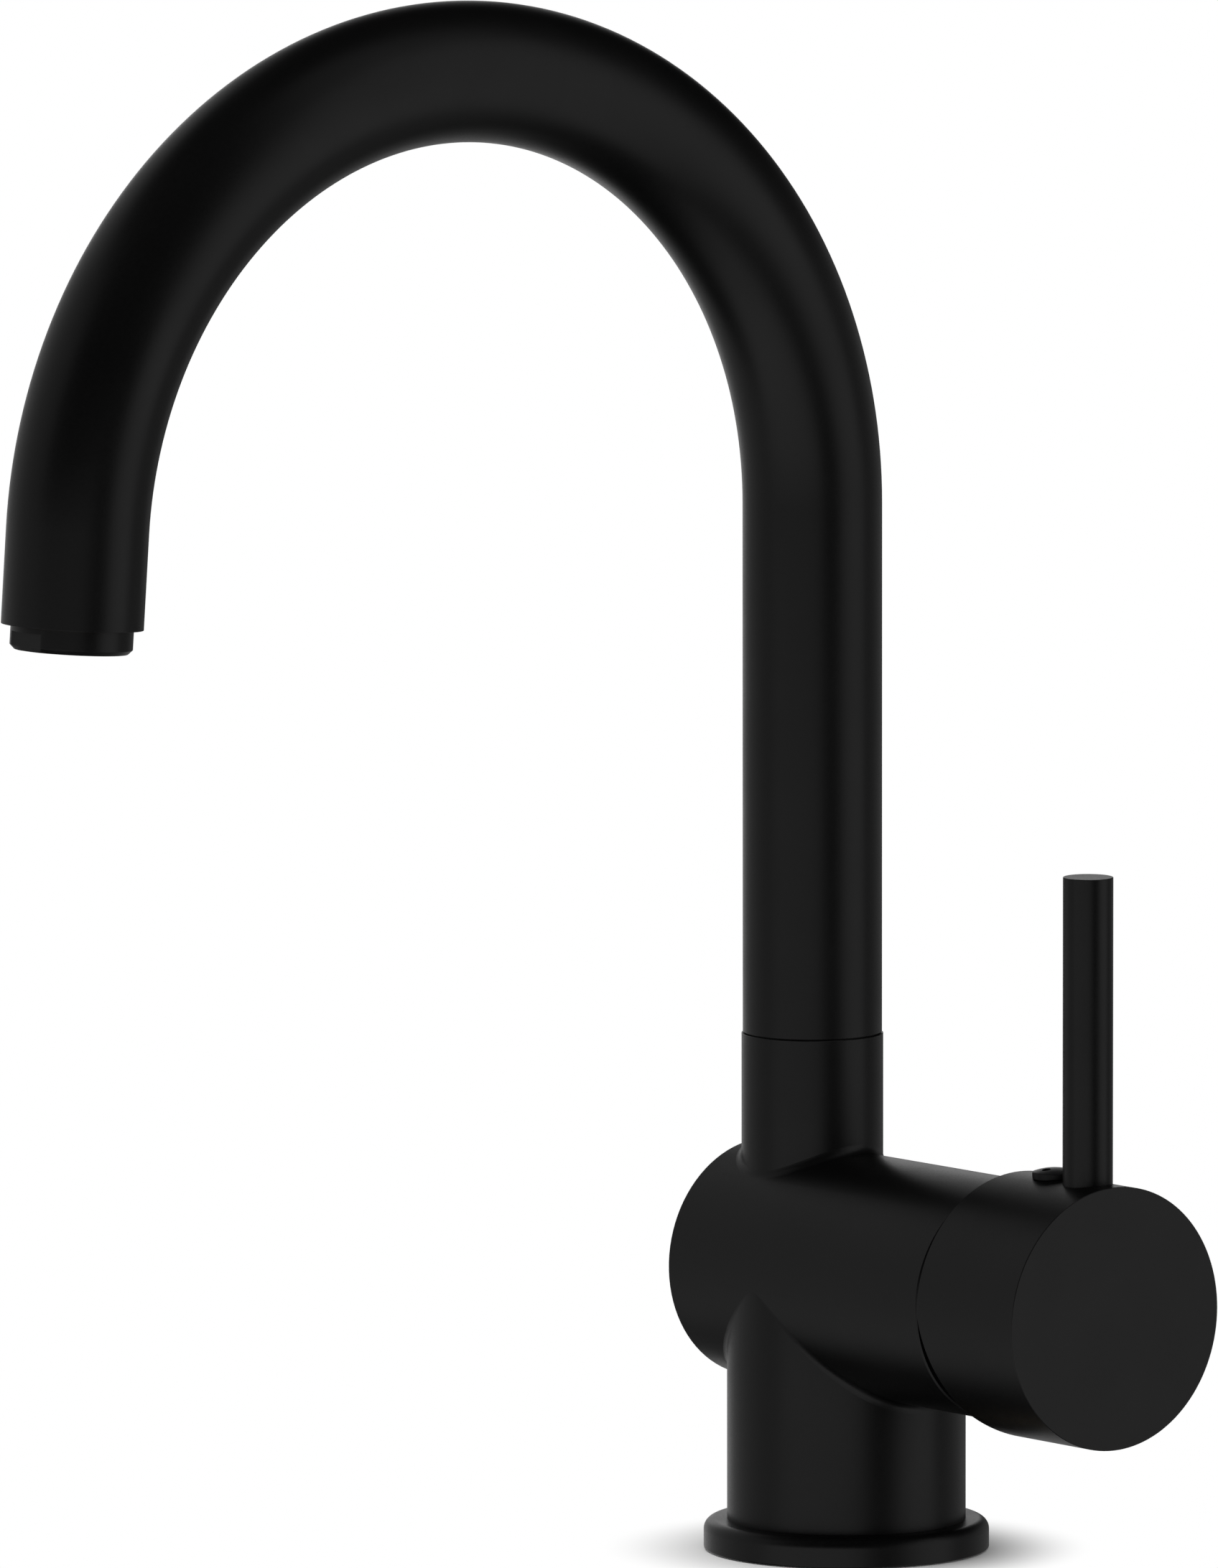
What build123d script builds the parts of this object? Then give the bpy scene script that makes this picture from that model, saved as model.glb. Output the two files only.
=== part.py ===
from build123d import *
from math import cos, radians, sin, tan
import os

# High-arc kitchen faucet with a swivelling spout and a side lever, in millimetres.
# The origin is the centre of the foot on the deck, +Z is up.
# The spout reaches towards -Y and the knob stands out along +X.

# Fits and clearances
seat_fit = 0.02          # radial play of pieces that are screwed, pressed or glued together
running_fit = 0.05       # play of pieces that turn or slide in each other
free_gap = 0.3           # room between pieces that pass each other

# Foot and base column
flange_overhang = 4.7    # how far the foot stands out from the column
flange_height = 6.0
flange_edge = 2.2        # rounding of the foot's top edge
flange_base_chamfer = 0.4
spigot_step = 3.0        # the column steps in by this much inside the foot
spigot_lift = 1.0        # the column ends this far above the deck
base_seal_width = 3.0
base_seal_thickness = 1.2

# Barrel and spout socket
barrel_height = 56.0     # axis of the barrel above the deck
barrel_diameter = 48.2
barrel_right = 52.4      # open end, from the column's axis
barrel_end_chamfer = 0.3
column_inset = 0.1       # the column is this much smaller than the barrel, in radius
column_blend = 2.0       # rounding between column and barrel
column_end_land = 1.1    # straight stretch from the column's rounding to the barrel's closed end
socket_step = 0.25       # the socket is this much larger than the tube, in radius
socket_wall = 3.0
socket_rise = 23.2       # rim of the socket above the barrel
socket_blend = 1.8       # rounding between socket and barrel
socket_end_land = 0.05   # straight stretch from the socket's rounding to the barrel's closed end
socket_rim_chamfer = 0.1

# Water ways
recess_wall = 4.5        # wall round the recess that takes the hose ends
recess_depth = 17.0
inlet_x = 4.0
inlet_radius = 4.6       # M10 x 1 hose thread
inlet_depth = 11.0
passage_radius = 3.5
side_port_inset = 9.0    # hot and cold ports, from the cartridge's edge
side_port_drop = 6.0     # and below its axis
mixed_port_inset = 8.5   # mixed water port, from the cartridge's edge
tail_clearance = 1.5     # from the mixed passage to the spout's tail

# Clamp under the deck
stud_inset = 5.0         # axis of the stud, from the wall of the recess
stud_radius = 4.0
stud_grip = 12.0         # thread length in the casting
stud_free_end = 14.0     # length below the nut
stud_chamfer = 0.6
drill_allowance = 1.0    # how much deeper a blind hole is than what it holds
deck_room = 30.0         # thickness of deck that the clamp holds
clamp_radius = 25.0
clamp_bridge = 6.0       # from the stud's axis to the slot of the horseshoe
clamp_slot_half = 15.0
clamp_slot_corner = 5.0
clamp_gasket_thickness = 3.0
clamp_washer_thickness = 3.0
clamp_nut_length = 12.0
clamp_nut_flats = 13.0

# Ceramic cartridge, listed from the barrel's open end inwards
cartridge_diameter = 35.0
nut_thread_step = 1.5    # the ring nut is this much larger than the cartridge, in radius
nut_seat = 1.2           # the ring nut lies this deep in the barrel
nut_thickness = 3.6
nut_bore_room = 1.2      # between the ring nut and the stop rail
nut_notch = 3.0
housing_wall = 3.0
housing_side = 2.9
rotor_flange_thickness = 3.3
rotor_lead = 2.2         # from the rotor's flange to the disc carrier
carrier_length = 5.5
moving_disc_thickness = 3.5
fixed_disc_thickness = 4.0
port_plate_thickness = 6.0
port_seal_wall = 1.8
port_seal_depth = 1.4
peg_radius = 1.5
peg_length = 3.0
peg_inset = 4.0          # pegs of the port plate, from the cartridge's edge
peg_rise = 3.0           # and above its axis
carrier_margin = 3.0     # radial room of the carrier inside the housing
carrier_flat_inset = 2.8  # the carrier's guide flats lie this far inside its round
moving_disc_margin = 3.6
mixing_pocket_margin = 5.0  # the mixing pocket is this much smaller than its disc, in radius
mixing_pocket_depth = 1.4
carrier_lug_radius = 1.5
carrier_lug_length = 1.2
carrier_lug_inset = 3.3  # lugs of the carrier, from its guide flats
journal_radius = 10.0
journal_stand_out = 0.3  # the rotor ends this far past the ring nut
rotor_ring_cord = 1.5    # thickness of the rotor's O-ring
stop_half_angle = 15.0   # half width of the rotor's stop key
stop_key_height = 2.5
stop_key_length = 1.6
stop_rail_height = 2.0
turn_angle = 50.0        # the lever turns this far to hot and to cold
stop_play = 1.0          # degrees left at the end of the turn

# Lever spindle
lift_angle = 20.0        # the lever tips this far out
ball_arm = 9.0           # from the pivot pin to the ball
ball_radius = 2.6
ball_depth = 2.0         # the ball's centre lies this far inside the carrier
ball_play = 0.15
ball_neck_radius = 1.8
bar_size = 7.0           # square section of the spindle
bar_corner = 0.6
bar_lead = 4.5           # the square starts this far inside the pivot
spindle_grip = 14.0      # length of the square inside the knob
pin_radius = 1.5
pin_inset = 1.8          # the pin ends this far inside the rotor's journal

# Knob, lever and index button
knob_diameter = 52.6
knob_gap = 3.0           # from the barrel's end to the knob's rear rim
knob_length = 29.9
knob_rim_wall = 2.1
knob_cavity_depth = 6.1
relief_saving = 8.0      # the lower rear edge is cut back by this much less than the lift angle
relief_straight = 18.0   # the cut runs straight down to this far below the axis
relief_flare = 2.0       # and then bends out by this much to the knob's bottom
knob_face_wall = 5.0
knob_side_wall = 3.8
knob_boss_wall = 6.0     # wall of the boss on the spindle's flats
knob_rib_wall = 3.0      # wall of the rib beside the lever rod
knob_edge = 0.12
lever_setback = 8.6      # axis of the lever rod behind the knob's face
lever_diameter = 10.0
lever_top = 143.3
lever_root = 10.0        # the rod starts this far above the barrel's axis
lever_edge = 0.12
button_gap = 0.8         # between the lever rod and the index button
button_radius = 4.5
button_lift = 0.2        # the button's underside stays this far clear of the knob's top
button_rim = 1.0         # height of the button's rim
button_dome = 0.6
button_stem_length = 4.0
dimple_radius = 0.9
dimple_y = 2.2
dimple_depth = 0.5
grub_radius = 2.5
grub_length = 8.0
hex_key = 2.5            # key size of the small screws
hex_depth = 2.5

# Trim ring in the gap behind the knob
trim_inset = 2.1         # the trim ring is this much smaller than the barrel, in radius
trim_rim = 0.6
trim_nose = 3.2          # how far the trim ring stands out of the barrel
trim_bore_room = 3.0     # between the trim ring and the rotor's journal
trim_face_width = 4.0
trim_slope_drop = 0.6

# Spout
tube_diameter = 28.0
tube_wall = 1.0
rise_length = 106.75     # straight stretch above the socket
bend_radius = 91.6
bend_angle = 175.8
outlet_length = 18.75    # straight stretch before the outlet
seam_gap = 0.25          # width of the seam between socket and tube
slide_flange = 0.5       # thickness of the upper slide ring's rim
seam_inset = 0.5         # the rim lies this far inside the tube's surface
slide_wall = 1.2
upper_slide_length = 6.0
lower_slide_length = 5.0
tail_lip = 1.0
tail_wall = 1.55         # wall of the tail under the stop groove
tail_plug_length = 14.0
spout_ring_cord = 2.3    # thickness of the spout's O-rings
spout_ring_rise = 8.2    # lower O-ring above the tail's end
spout_ring_pitch = 4.5
groove_play = 0.2
stop_screw_radius = 2.0
stop_screw_drop = 3.2    # stop screw below the upper slide ring
stop_groove_depth = 2.4

# Aerator
bush_wall = 1.0
bush_length = 13.0
bush_lip = 2.0
bush_lip_height = 2.18   # the lip stands this far inside the thread
washer_thickness = 2.0
washer_wall = 2.3
collar_step = 0.1        # the collar is this much larger than its thread, in radius
collar_length = 4.85     # from the tube's end to the outlet
collar_chamfer = 0.9
flat_depth = 1.05        # depth of the two wrench flats
flat_length = 3.65       # the flats reach up this far from the outlet
former_wall = 2.4        # wall of the collar round the flow former
former_lip = 0.7
former_lip_length = 0.8
former_web = 2.0
former_hub_radius = 2.2
former_rim = 1.2
former_spokes = 12
former_spoke_width = 1.1
screen_thickness = 0.6
screen_hole_radius = 0.55
screen_rings = 3
screen_margin = 1.53     # edge of the screen outside its holes

# Radii that follow from the sizes above
barrel_radius = barrel_diameter / 2
column_radius = barrel_radius - column_inset
flange_radius = column_radius + flange_overhang
spigot_radius = column_radius - spigot_step
recess_radius = spigot_radius - recess_wall
base_seal_radius = (spigot_radius + flange_radius) / 2
tube_radius = tube_diameter / 2
tube_bore = tube_radius - tube_wall
socket_radius = tube_radius + socket_step
bore_radius = socket_radius - socket_wall
cartridge_radius = cartridge_diameter / 2
nut_radius = cartridge_radius + nut_thread_step
cavity_radius = cartridge_radius - housing_side
rotor_radius = cavity_radius - free_gap
carrier_radius = cavity_radius - carrier_margin
carrier_flat = carrier_radius - carrier_flat_inset
carrier_lug_y = carrier_flat - carrier_lug_inset
moving_disc_radius = cavity_radius - moving_disc_margin
mixing_pocket_radius = moving_disc_radius - mixing_pocket_margin
stop_rail_radius = journal_radius + stop_key_height + free_gap
nut_bore_radius = stop_rail_radius + nut_bore_room
trim_bore_radius = journal_radius + trim_bore_room
pin_half_length = journal_radius - pin_inset
knob_radius = knob_diameter / 2
knob_cavity_radius = knob_radius - knob_rim_wall
knob_boss_radius = bar_size / 2 + knob_boss_wall
lever_radius = lever_diameter / 2
thread_radius = tube_bore - seat_fit - bush_wall
bush_lip_radius = thread_radius - bush_lip_height
collar_radius = thread_radius + collar_step
former_radius = thread_radius - former_wall
screen_pitch = (former_radius - screen_margin - screen_hole_radius) / screen_rings

# Closed end of the barrel, and the axes of the spout and the stud
barrel_left = column_radius + column_blend + column_end_land + barrel_end_chamfer
spout_x = socket_radius + socket_blend + socket_end_land + barrel_end_chamfer - barrel_left
stud_x = stud_inset - recess_radius

# Places along the barrel, from its open end inwards
nut_face = barrel_right - nut_seat
housing_top = nut_face - nut_thickness
cavity_top = housing_top - housing_wall
rotor_top = cavity_top - 2 * running_fit
rotor_bottom = rotor_top - rotor_flange_thickness
carrier_top = rotor_bottom - rotor_lead
carrier_bottom = carrier_top - carrier_length
moving_disc_bottom = carrier_bottom - moving_disc_thickness
fixed_disc_top = moving_disc_bottom - running_fit
plate_top = fixed_disc_top - fixed_disc_thickness
chamber_floor = plate_top - port_plate_thickness
ball_x = carrier_top - ball_depth
pivot_x = ball_x + ball_arm

# Places along the knob
knob_rear = barrel_right + knob_gap
knob_face = knob_rear + knob_length
knob_floor = knob_rear + knob_cavity_depth
lever_x = knob_face - lever_setback
button_x = lever_x - lever_radius - button_gap - button_radius
spindle_end = knob_floor + spindle_grip
knob_top = barrel_height + knob_radius
button_base = knob_top + button_lift
bar_top = barrel_height + bar_size / 2

# Hot, cold and mixed ports, from the barrel's axis
side_port_y = cartridge_radius - side_port_inset
side_ports = [(-side_port_y, -side_port_drop), (side_port_y, -side_port_drop)]
mixed_port_z = cartridge_radius - mixed_port_inset
ports = side_ports + [(0, mixed_port_z)]
peg_y = cartridge_radius - peg_inset
pegs = [(-peg_y, peg_rise), (peg_y, peg_rise)]
disc_rest = -ball_arm * sin(radians(lift_angle)) / 2   # the disc lies this low while the tap is shut

# Heights in the socket
mixed_height = barrel_height + mixed_port_z
tail_end = mixed_height + passage_radius + tail_clearance
seam_height = barrel_height + barrel_radius + socket_rise
tube_end = seam_height + seam_gap
slide_flange_base = tube_end - slide_flange
lower_slide_base = tail_end + tail_lip
upper_slide_base = seam_height - upper_slide_length
stop_height = upper_slide_base - stop_screw_drop
spout_ring_heights = [tail_end + spout_ring_rise + step * spout_ring_pitch for step in range(2)]
land_radius = bore_radius - free_gap
slide_radius = bore_radius - running_fit
slide_bore = slide_radius - slide_wall
ring_groove = slide_radius - spout_ring_cord
stop_groove = land_radius - stop_groove_depth
tail_bore_radius = stop_groove - tail_wall

# Heights under the deck
recess_top = spigot_lift + recess_depth
stud_top = recess_top + stud_grip
gasket_top = -deck_room
washer_top = gasket_top - clamp_gasket_thickness
clamp_nut_top = washer_top - clamp_washer_thickness
stud_bottom = clamp_nut_top - clamp_nut_length - stud_free_end

# Course of the spout's centre line: u runs towards the user, v up from the tube's lower end
bend_turn = radians(bend_angle)
bend_end = (bend_radius * (1 - cos(bend_turn)), rise_length + bend_radius * sin(bend_turn))
outlet_end = (bend_end[0] + outlet_length * sin(bend_turn), bend_end[1] + outlet_length * cos(bend_turn))

# Planes that the pieces are drawn on
spout_course = Plane(origin=(spout_x, 0, tube_end), x_dir=(0, -1, 0), z_dir=(-1, 0, 0))
outlet_plane = Plane(
    origin=(spout_x, -outlet_end[0], tube_end + outlet_end[1]),
    x_dir=(1, 0, 0),
    z_dir=(0, -sin(bend_turn), cos(bend_turn)),
)
barrel_section = Plane(origin=(0, 0, barrel_height), x_dir=(1, 0, 0), z_dir=(0, -1, 0))
barrel_axis = Axis((0, 0, barrel_height), (1, 0, 0))
pin_plane = Plane(origin=(pivot_x, 0, barrel_height), x_dir=(1, 0, 0), z_dir=(0, 1, 0))


def barrel_plane(x):
    """Plane square to the barrel at x. Its own x and y are the tap's Y and Z."""
    return Plane(origin=(x, 0, barrel_height), x_dir=(0, 1, 0), z_dir=(1, 0, 0))


def spout_plane(height):
    """Level plane on the spout's axis."""
    return Plane.XY.offset(height).move(Location((spout_x, 0, 0)))


def ring_face(outer_radius, inner_radius):
    """Flat ring in the sketch that is open."""
    Circle(outer_radius)
    Circle(inner_radius, mode=Mode.SUBTRACT)


def sector_face(outer_radius, inner_radius, middle, half_angle):
    """Part of a flat ring, half_angle degrees to each side of the middle direction."""
    with BuildLine() as outline:
        outer = CenterArc((0, 0), outer_radius, middle - half_angle, 2 * half_angle)
        inner = CenterArc((0, 0), inner_radius, middle - half_angle, 2 * half_angle)
        Line(outer @ 0, inner @ 0)
        Line(outer @ 1, inner @ 1)
    make_face(outline.edges())


def horseshoe_face():
    """Round plate with a stud hole and a wide slot for the hoses."""
    Circle(clamp_radius)
    with Locations((stud_x + clamp_bridge, 0)):
        RectangleRounded(
            2 * clamp_radius,
            2 * clamp_slot_half,
            clamp_slot_corner,
            align=(Align.MIN, Align.CENTER),
            mode=Mode.SUBTRACT,
        )
    with Locations((stud_x, 0)):
        Circle(stud_radius + free_gap, mode=Mode.SUBTRACT)


# Body casting: column, barrel and socket, hollowed for the cartridge, the spout and the water
with BuildPart() as body_casting:
    with BuildSketch(Plane.XY.offset(flange_height)):
        Circle(column_radius)
    extrude(amount=barrel_height - flange_height)
    with BuildSketch(barrel_plane(-barrel_left)):
        Circle(barrel_radius)
    extrude(amount=barrel_left + barrel_right)
    with BuildSketch(spout_plane(barrel_height)):
        Circle(socket_radius)
    extrude(amount=seam_height - barrel_height)
    creases = body_casting.edges().filter_by(GeomType.BSPLINE)
    fillet(creases.filter_by(lambda crease: crease.center().Z > barrel_height), radius=socket_blend)
    creases = body_casting.edges().filter_by(GeomType.BSPLINE)
    fillet(creases.filter_by(lambda crease: crease.center().Z < barrel_height), radius=column_blend)
    chamfer(body_casting.faces().sort_by(Axis.X)[0].edges(), length=barrel_end_chamfer)
    chamfer(body_casting.faces().sort_by(Axis.X)[-1].edges(), length=barrel_end_chamfer)
    chamfer(body_casting.faces().sort_by(Axis.Z)[-1].edges(), length=socket_rim_chamfer)
    with BuildSketch(Plane.XY.offset(spigot_lift)):
        Circle(spigot_radius)
    extrude(amount=flange_height - spigot_lift)
    # Chamber for the cartridge and its ring nut
    with BuildSketch(barrel_plane(chamber_floor)):
        Circle(cartridge_radius + running_fit)
    extrude(amount=barrel_right - chamber_floor, mode=Mode.SUBTRACT)
    with BuildSketch(barrel_plane(cavity_top)):
        Circle(nut_radius + seat_fit)
    extrude(amount=barrel_right - cavity_top, mode=Mode.SUBTRACT)
    with BuildSketch(barrel_plane(chamber_floor)):
        with Locations(*pegs):
            Circle(peg_radius + running_fit)
    extrude(amount=-peg_length - drill_allowance, mode=Mode.SUBTRACT)
    # Bore for the spout, with a seat for the upper slide ring and the hole of the stop screw
    with BuildSketch(spout_plane(mixed_height - passage_radius)):
        Circle(bore_radius)
    extrude(amount=seam_height - mixed_height + passage_radius, mode=Mode.SUBTRACT)
    with BuildSketch(spout_plane(slide_flange_base - running_fit)):
        Circle(tube_radius - seam_inset + running_fit)
    extrude(amount=slide_flange, mode=Mode.SUBTRACT)
    with BuildSketch(Plane(origin=(spout_x, 0, stop_height), x_dir=(1, 0, 0), z_dir=(0, 1, 0))):
        Circle(stop_screw_radius + seat_fit)
    extrude(amount=socket_radius, mode=Mode.SUBTRACT)
    # Water ways: up from the inlets, along to the ports and back to the spout
    with BuildSketch(barrel_plane(inlet_x)):
        with Locations(*side_ports):
            Circle(passage_radius)
    extrude(amount=chamber_floor - inlet_x, mode=Mode.SUBTRACT)
    with BuildSketch(barrel_plane(spout_x)):
        with Locations((0, mixed_port_z)):
            Circle(passage_radius)
    extrude(amount=chamber_floor - spout_x, mode=Mode.SUBTRACT)
    with BuildSketch(Plane.XY.offset(spigot_lift)):
        with Locations((inlet_x, side_port_y), (inlet_x, -side_port_y)):
            Circle(passage_radius)
    extrude(amount=barrel_height - side_port_drop - spigot_lift, mode=Mode.SUBTRACT)
    # Foot recess with the two hose threads and the stud's thread
    with BuildSketch(Plane.XY.offset(spigot_lift)):
        Circle(recess_radius)
    extrude(amount=recess_depth, mode=Mode.SUBTRACT)
    with BuildSketch(Plane.XY.offset(spigot_lift)):
        with Locations((inlet_x, side_port_y), (inlet_x, -side_port_y)):
            Circle(inlet_radius)
    extrude(amount=recess_depth + inlet_depth, mode=Mode.SUBTRACT)
    with BuildSketch(Plane.XY.offset(spigot_lift)):
        with Locations((stud_x, 0)):
            Circle(stud_radius + seat_fit)
    extrude(amount=stud_top + drill_allowance - spigot_lift, mode=Mode.SUBTRACT)
body_casting.part.label = "body_casting"

# Foot with a rounded top edge and a groove for the seal
with BuildPart() as base_ring:
    with BuildSketch():
        ring_face(flange_radius, spigot_radius + seat_fit)
    extrude(amount=flange_height)
    fillet(base_ring.edges().group_by(Axis.Z)[-1].sort_by(SortBy.RADIUS)[-1], radius=flange_edge)
    chamfer(base_ring.edges().group_by(Axis.Z)[0].sort_by(SortBy.RADIUS)[-1], length=flange_base_chamfer)
    with BuildSketch():
        ring_face(base_seal_radius + base_seal_width / 2, base_seal_radius - base_seal_width / 2)
    extrude(amount=base_seal_thickness, mode=Mode.SUBTRACT)
base_ring.part.label = "base_ring"

with BuildPart() as base_seal:
    with BuildSketch():
        seal_half = base_seal_width / 2 - seat_fit
        ring_face(base_seal_radius + seal_half, base_seal_radius - seal_half)
    extrude(amount=base_seal_thickness)
base_seal.part.label = "base_seal"

# Clamp under the deck: stud, rubber and steel horseshoes, nut
with BuildPart() as fixing_stud:
    with BuildSketch(Plane.XY.offset(stud_bottom)):
        with Locations((stud_x, 0)):
            Circle(stud_radius)
    extrude(amount=stud_top - stud_bottom)
    chamfer(fixing_stud.edges().filter_by(GeomType.CIRCLE), length=stud_chamfer)
fixing_stud.part.label = "fixing_stud"

with BuildPart() as clamp_gasket:
    with BuildSketch(Plane.XY.offset(gasket_top)):
        horseshoe_face()
    extrude(amount=-clamp_gasket_thickness)
clamp_gasket.part.label = "clamp_gasket"

with BuildPart() as clamp_washer:
    with BuildSketch(Plane.XY.offset(washer_top)):
        horseshoe_face()
    extrude(amount=-clamp_washer_thickness)
clamp_washer.part.label = "clamp_washer"

with BuildPart() as clamp_nut:
    with BuildSketch(Plane.XY.offset(clamp_nut_top)):
        with Locations((stud_x, 0)):
            RegularPolygon(clamp_nut_flats / 2, 6, major_radius=False)
            Circle(stud_radius + seat_fit, mode=Mode.SUBTRACT)
    extrude(amount=-clamp_nut_length)
clamp_nut.part.label = "clamp_nut"

# Cartridge: port plate on the chamber's floor, with its seals
with BuildPart() as cartridge_base:
    with BuildSketch(barrel_plane(chamber_floor)):
        Circle(cartridge_radius)
        with Locations(*ports):
            Circle(passage_radius, mode=Mode.SUBTRACT)
    extrude(amount=port_plate_thickness)
    with BuildSketch(barrel_plane(chamber_floor)):
        with Locations(*ports):
            Circle(passage_radius + port_seal_wall)
    extrude(amount=port_seal_depth, mode=Mode.SUBTRACT)
    with BuildSketch(barrel_plane(chamber_floor)):
        with Locations(*pegs):
            Circle(peg_radius)
    extrude(amount=-peg_length)
cartridge_base.part.label = "cartridge_base"

with BuildPart() as cartridge_seals:
    with BuildSketch(barrel_plane(chamber_floor)):
        with Locations(*ports):
            ring_face(passage_radius + port_seal_wall - seat_fit, passage_radius)
    extrude(amount=port_seal_depth)
cartridge_seals.part.label = "cartridge_seals"

# Cup of the cartridge, with the rail that ends the lever's turn
with BuildPart() as cartridge_housing:
    with BuildSketch(barrel_plane(plate_top)):
        Circle(cartridge_radius)
    extrude(amount=housing_top - plate_top)
    with BuildSketch(barrel_plane(plate_top)):
        Circle(cavity_radius)
    extrude(amount=cavity_top - plate_top, mode=Mode.SUBTRACT)
    with BuildSketch(barrel_plane(cavity_top)):
        Circle(journal_radius + running_fit)
    extrude(amount=housing_wall, mode=Mode.SUBTRACT)
    with BuildSketch(barrel_plane(housing_top)):
        sector_face(
            stop_rail_radius,
            journal_radius + free_gap,
            -90,
            180 - turn_angle - stop_half_angle - stop_play,
        )
    extrude(amount=stop_rail_height)
cartridge_housing.part.label = "cartridge_housing"

with BuildPart() as fixed_disc:
    with BuildSketch(barrel_plane(plate_top)):
        Circle(cavity_radius - running_fit)
        with Locations(*ports):
            Circle(passage_radius, mode=Mode.SUBTRACT)
    extrude(amount=fixed_disc_thickness)
fixed_disc.part.label = "fixed_disc"

with BuildPart() as cartridge_nut:
    with BuildSketch(barrel_plane(housing_top)):
        ring_face(nut_radius, nut_bore_radius)
    extrude(amount=nut_thickness)
    with BuildSketch(barrel_plane(nut_face)):
        with PolarLocations(nut_radius, 6):
            Rectangle(2 * nut_notch, nut_notch)
    extrude(amount=-nut_thickness / 2, mode=Mode.SUBTRACT)
cartridge_nut.part.label = "cartridge_nut"

# Ring that closes the barrel behind the knob
with BuildPart() as trim_ring:
    with BuildSketch(barrel_section):
        with BuildLine():
            Polyline(
                (nut_face, trim_bore_radius),
                (nut_face, nut_radius - seat_fit),
                (barrel_right, nut_radius - seat_fit),
                (barrel_right, barrel_radius - trim_inset),
                (barrel_right + trim_rim, barrel_radius - trim_inset),
                (barrel_right + trim_nose - trim_slope_drop, trim_bore_radius + trim_face_width),
                (barrel_right + trim_nose, trim_bore_radius),
                close=True,
            )
        make_face()
    revolve(axis=barrel_axis)
trim_ring.part.label = "trim_ring"

# Moving part of the cartridge: ceramic disc and the carrier that the ball drives
with BuildPart() as moving_disc:
    with BuildSketch(barrel_plane(moving_disc_bottom)):
        with Locations((0, disc_rest)):
            Circle(moving_disc_radius)
    extrude(amount=moving_disc_thickness)
    with BuildSketch(barrel_plane(moving_disc_bottom)):
        with Locations((0, disc_rest + mixing_pocket_radius / 2)):
            Circle(mixing_pocket_radius)
    extrude(amount=mixing_pocket_depth, mode=Mode.SUBTRACT)
    with BuildSketch(barrel_plane(carrier_bottom)):
        with Locations((-carrier_lug_y, disc_rest), (carrier_lug_y, disc_rest)):
            Circle(carrier_lug_radius + seat_fit)
    extrude(amount=-carrier_lug_length - free_gap, mode=Mode.SUBTRACT)
moving_disc.part.label = "moving_disc"

with BuildPart() as disc_carrier:
    with BuildSketch(barrel_plane(carrier_bottom)):
        with Locations((0, disc_rest)):
            Circle(carrier_radius)
            Rectangle(2 * carrier_flat, 2 * carrier_radius, mode=Mode.INTERSECT)
    extrude(amount=carrier_length)
    with BuildSketch(barrel_plane(carrier_top)):
        Rectangle(2 * (ball_radius + free_gap), 2 * (ball_radius + ball_play))
    extrude(amount=-ball_depth - ball_radius - free_gap, mode=Mode.SUBTRACT)
    with BuildSketch(barrel_plane(carrier_bottom)):
        with Locations((-carrier_lug_y, disc_rest), (carrier_lug_y, disc_rest)):
            Circle(carrier_lug_radius)
    extrude(amount=-carrier_lug_length)
disc_carrier.part.label = "disc_carrier"

# Rotor: flange with two guide rails, journal, stop key and the slot of the spindle
bar_sweep = (nut_face + journal_stand_out - pivot_x) * tan(radians(lift_angle))
slot_half_height = bar_sweep + bar_size / 2 / cos(radians(lift_angle)) + free_gap
with BuildPart() as cartridge_rotor:
    with BuildSketch(barrel_plane(rotor_bottom)):
        Circle(rotor_radius)
    extrude(amount=rotor_flange_thickness)
    with BuildSketch(barrel_plane(rotor_top)):
        Circle(journal_radius)
    extrude(amount=nut_face + journal_stand_out - rotor_top)
    with BuildSketch(barrel_plane(carrier_bottom + free_gap)):
        Circle(rotor_radius)
        Rectangle(2 * (carrier_flat + running_fit), 2 * rotor_radius, mode=Mode.SUBTRACT)
    extrude(amount=rotor_bottom - carrier_bottom - free_gap)
    with BuildSketch(barrel_plane(housing_top + running_fit)):
        sector_face(journal_radius + stop_key_height, journal_radius / 2, 90, stop_half_angle)
    extrude(amount=stop_key_length)
    with BuildSketch(barrel_plane(rotor_bottom)):
        Rectangle(bar_size + 2 * running_fit, 2 * slot_half_height)
    extrude(amount=nut_face + journal_stand_out - rotor_bottom, mode=Mode.SUBTRACT)
    with BuildSketch(pin_plane):
        Circle(pin_radius + seat_fit)
    extrude(amount=pin_half_length, both=True, mode=Mode.SUBTRACT)
    with BuildSketch(barrel_plane((rotor_bottom + rotor_top - rotor_ring_cord) / 2 - seat_fit)):
        ring_face(rotor_radius, cavity_radius - running_fit - rotor_ring_cord - seat_fit)
    extrude(amount=rotor_ring_cord + 2 * seat_fit, mode=Mode.SUBTRACT)
cartridge_rotor.part.label = "cartridge_rotor"

with BuildPart() as rotor_o_ring:
    rotor_ring_offset = cavity_radius - running_fit - rotor_ring_cord / 2
    with BuildSketch(barrel_section):
        with Locations(((rotor_bottom + rotor_top) / 2, rotor_ring_offset)):
            Circle(rotor_ring_cord / 2)
    revolve(axis=barrel_axis)
rotor_o_ring.part.label = "rotor_o_ring"

with BuildPart() as lever_pin:
    with BuildSketch(pin_plane):
        Circle(pin_radius)
    extrude(amount=pin_half_length, both=True)
lever_pin.part.label = "lever_pin"

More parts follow.
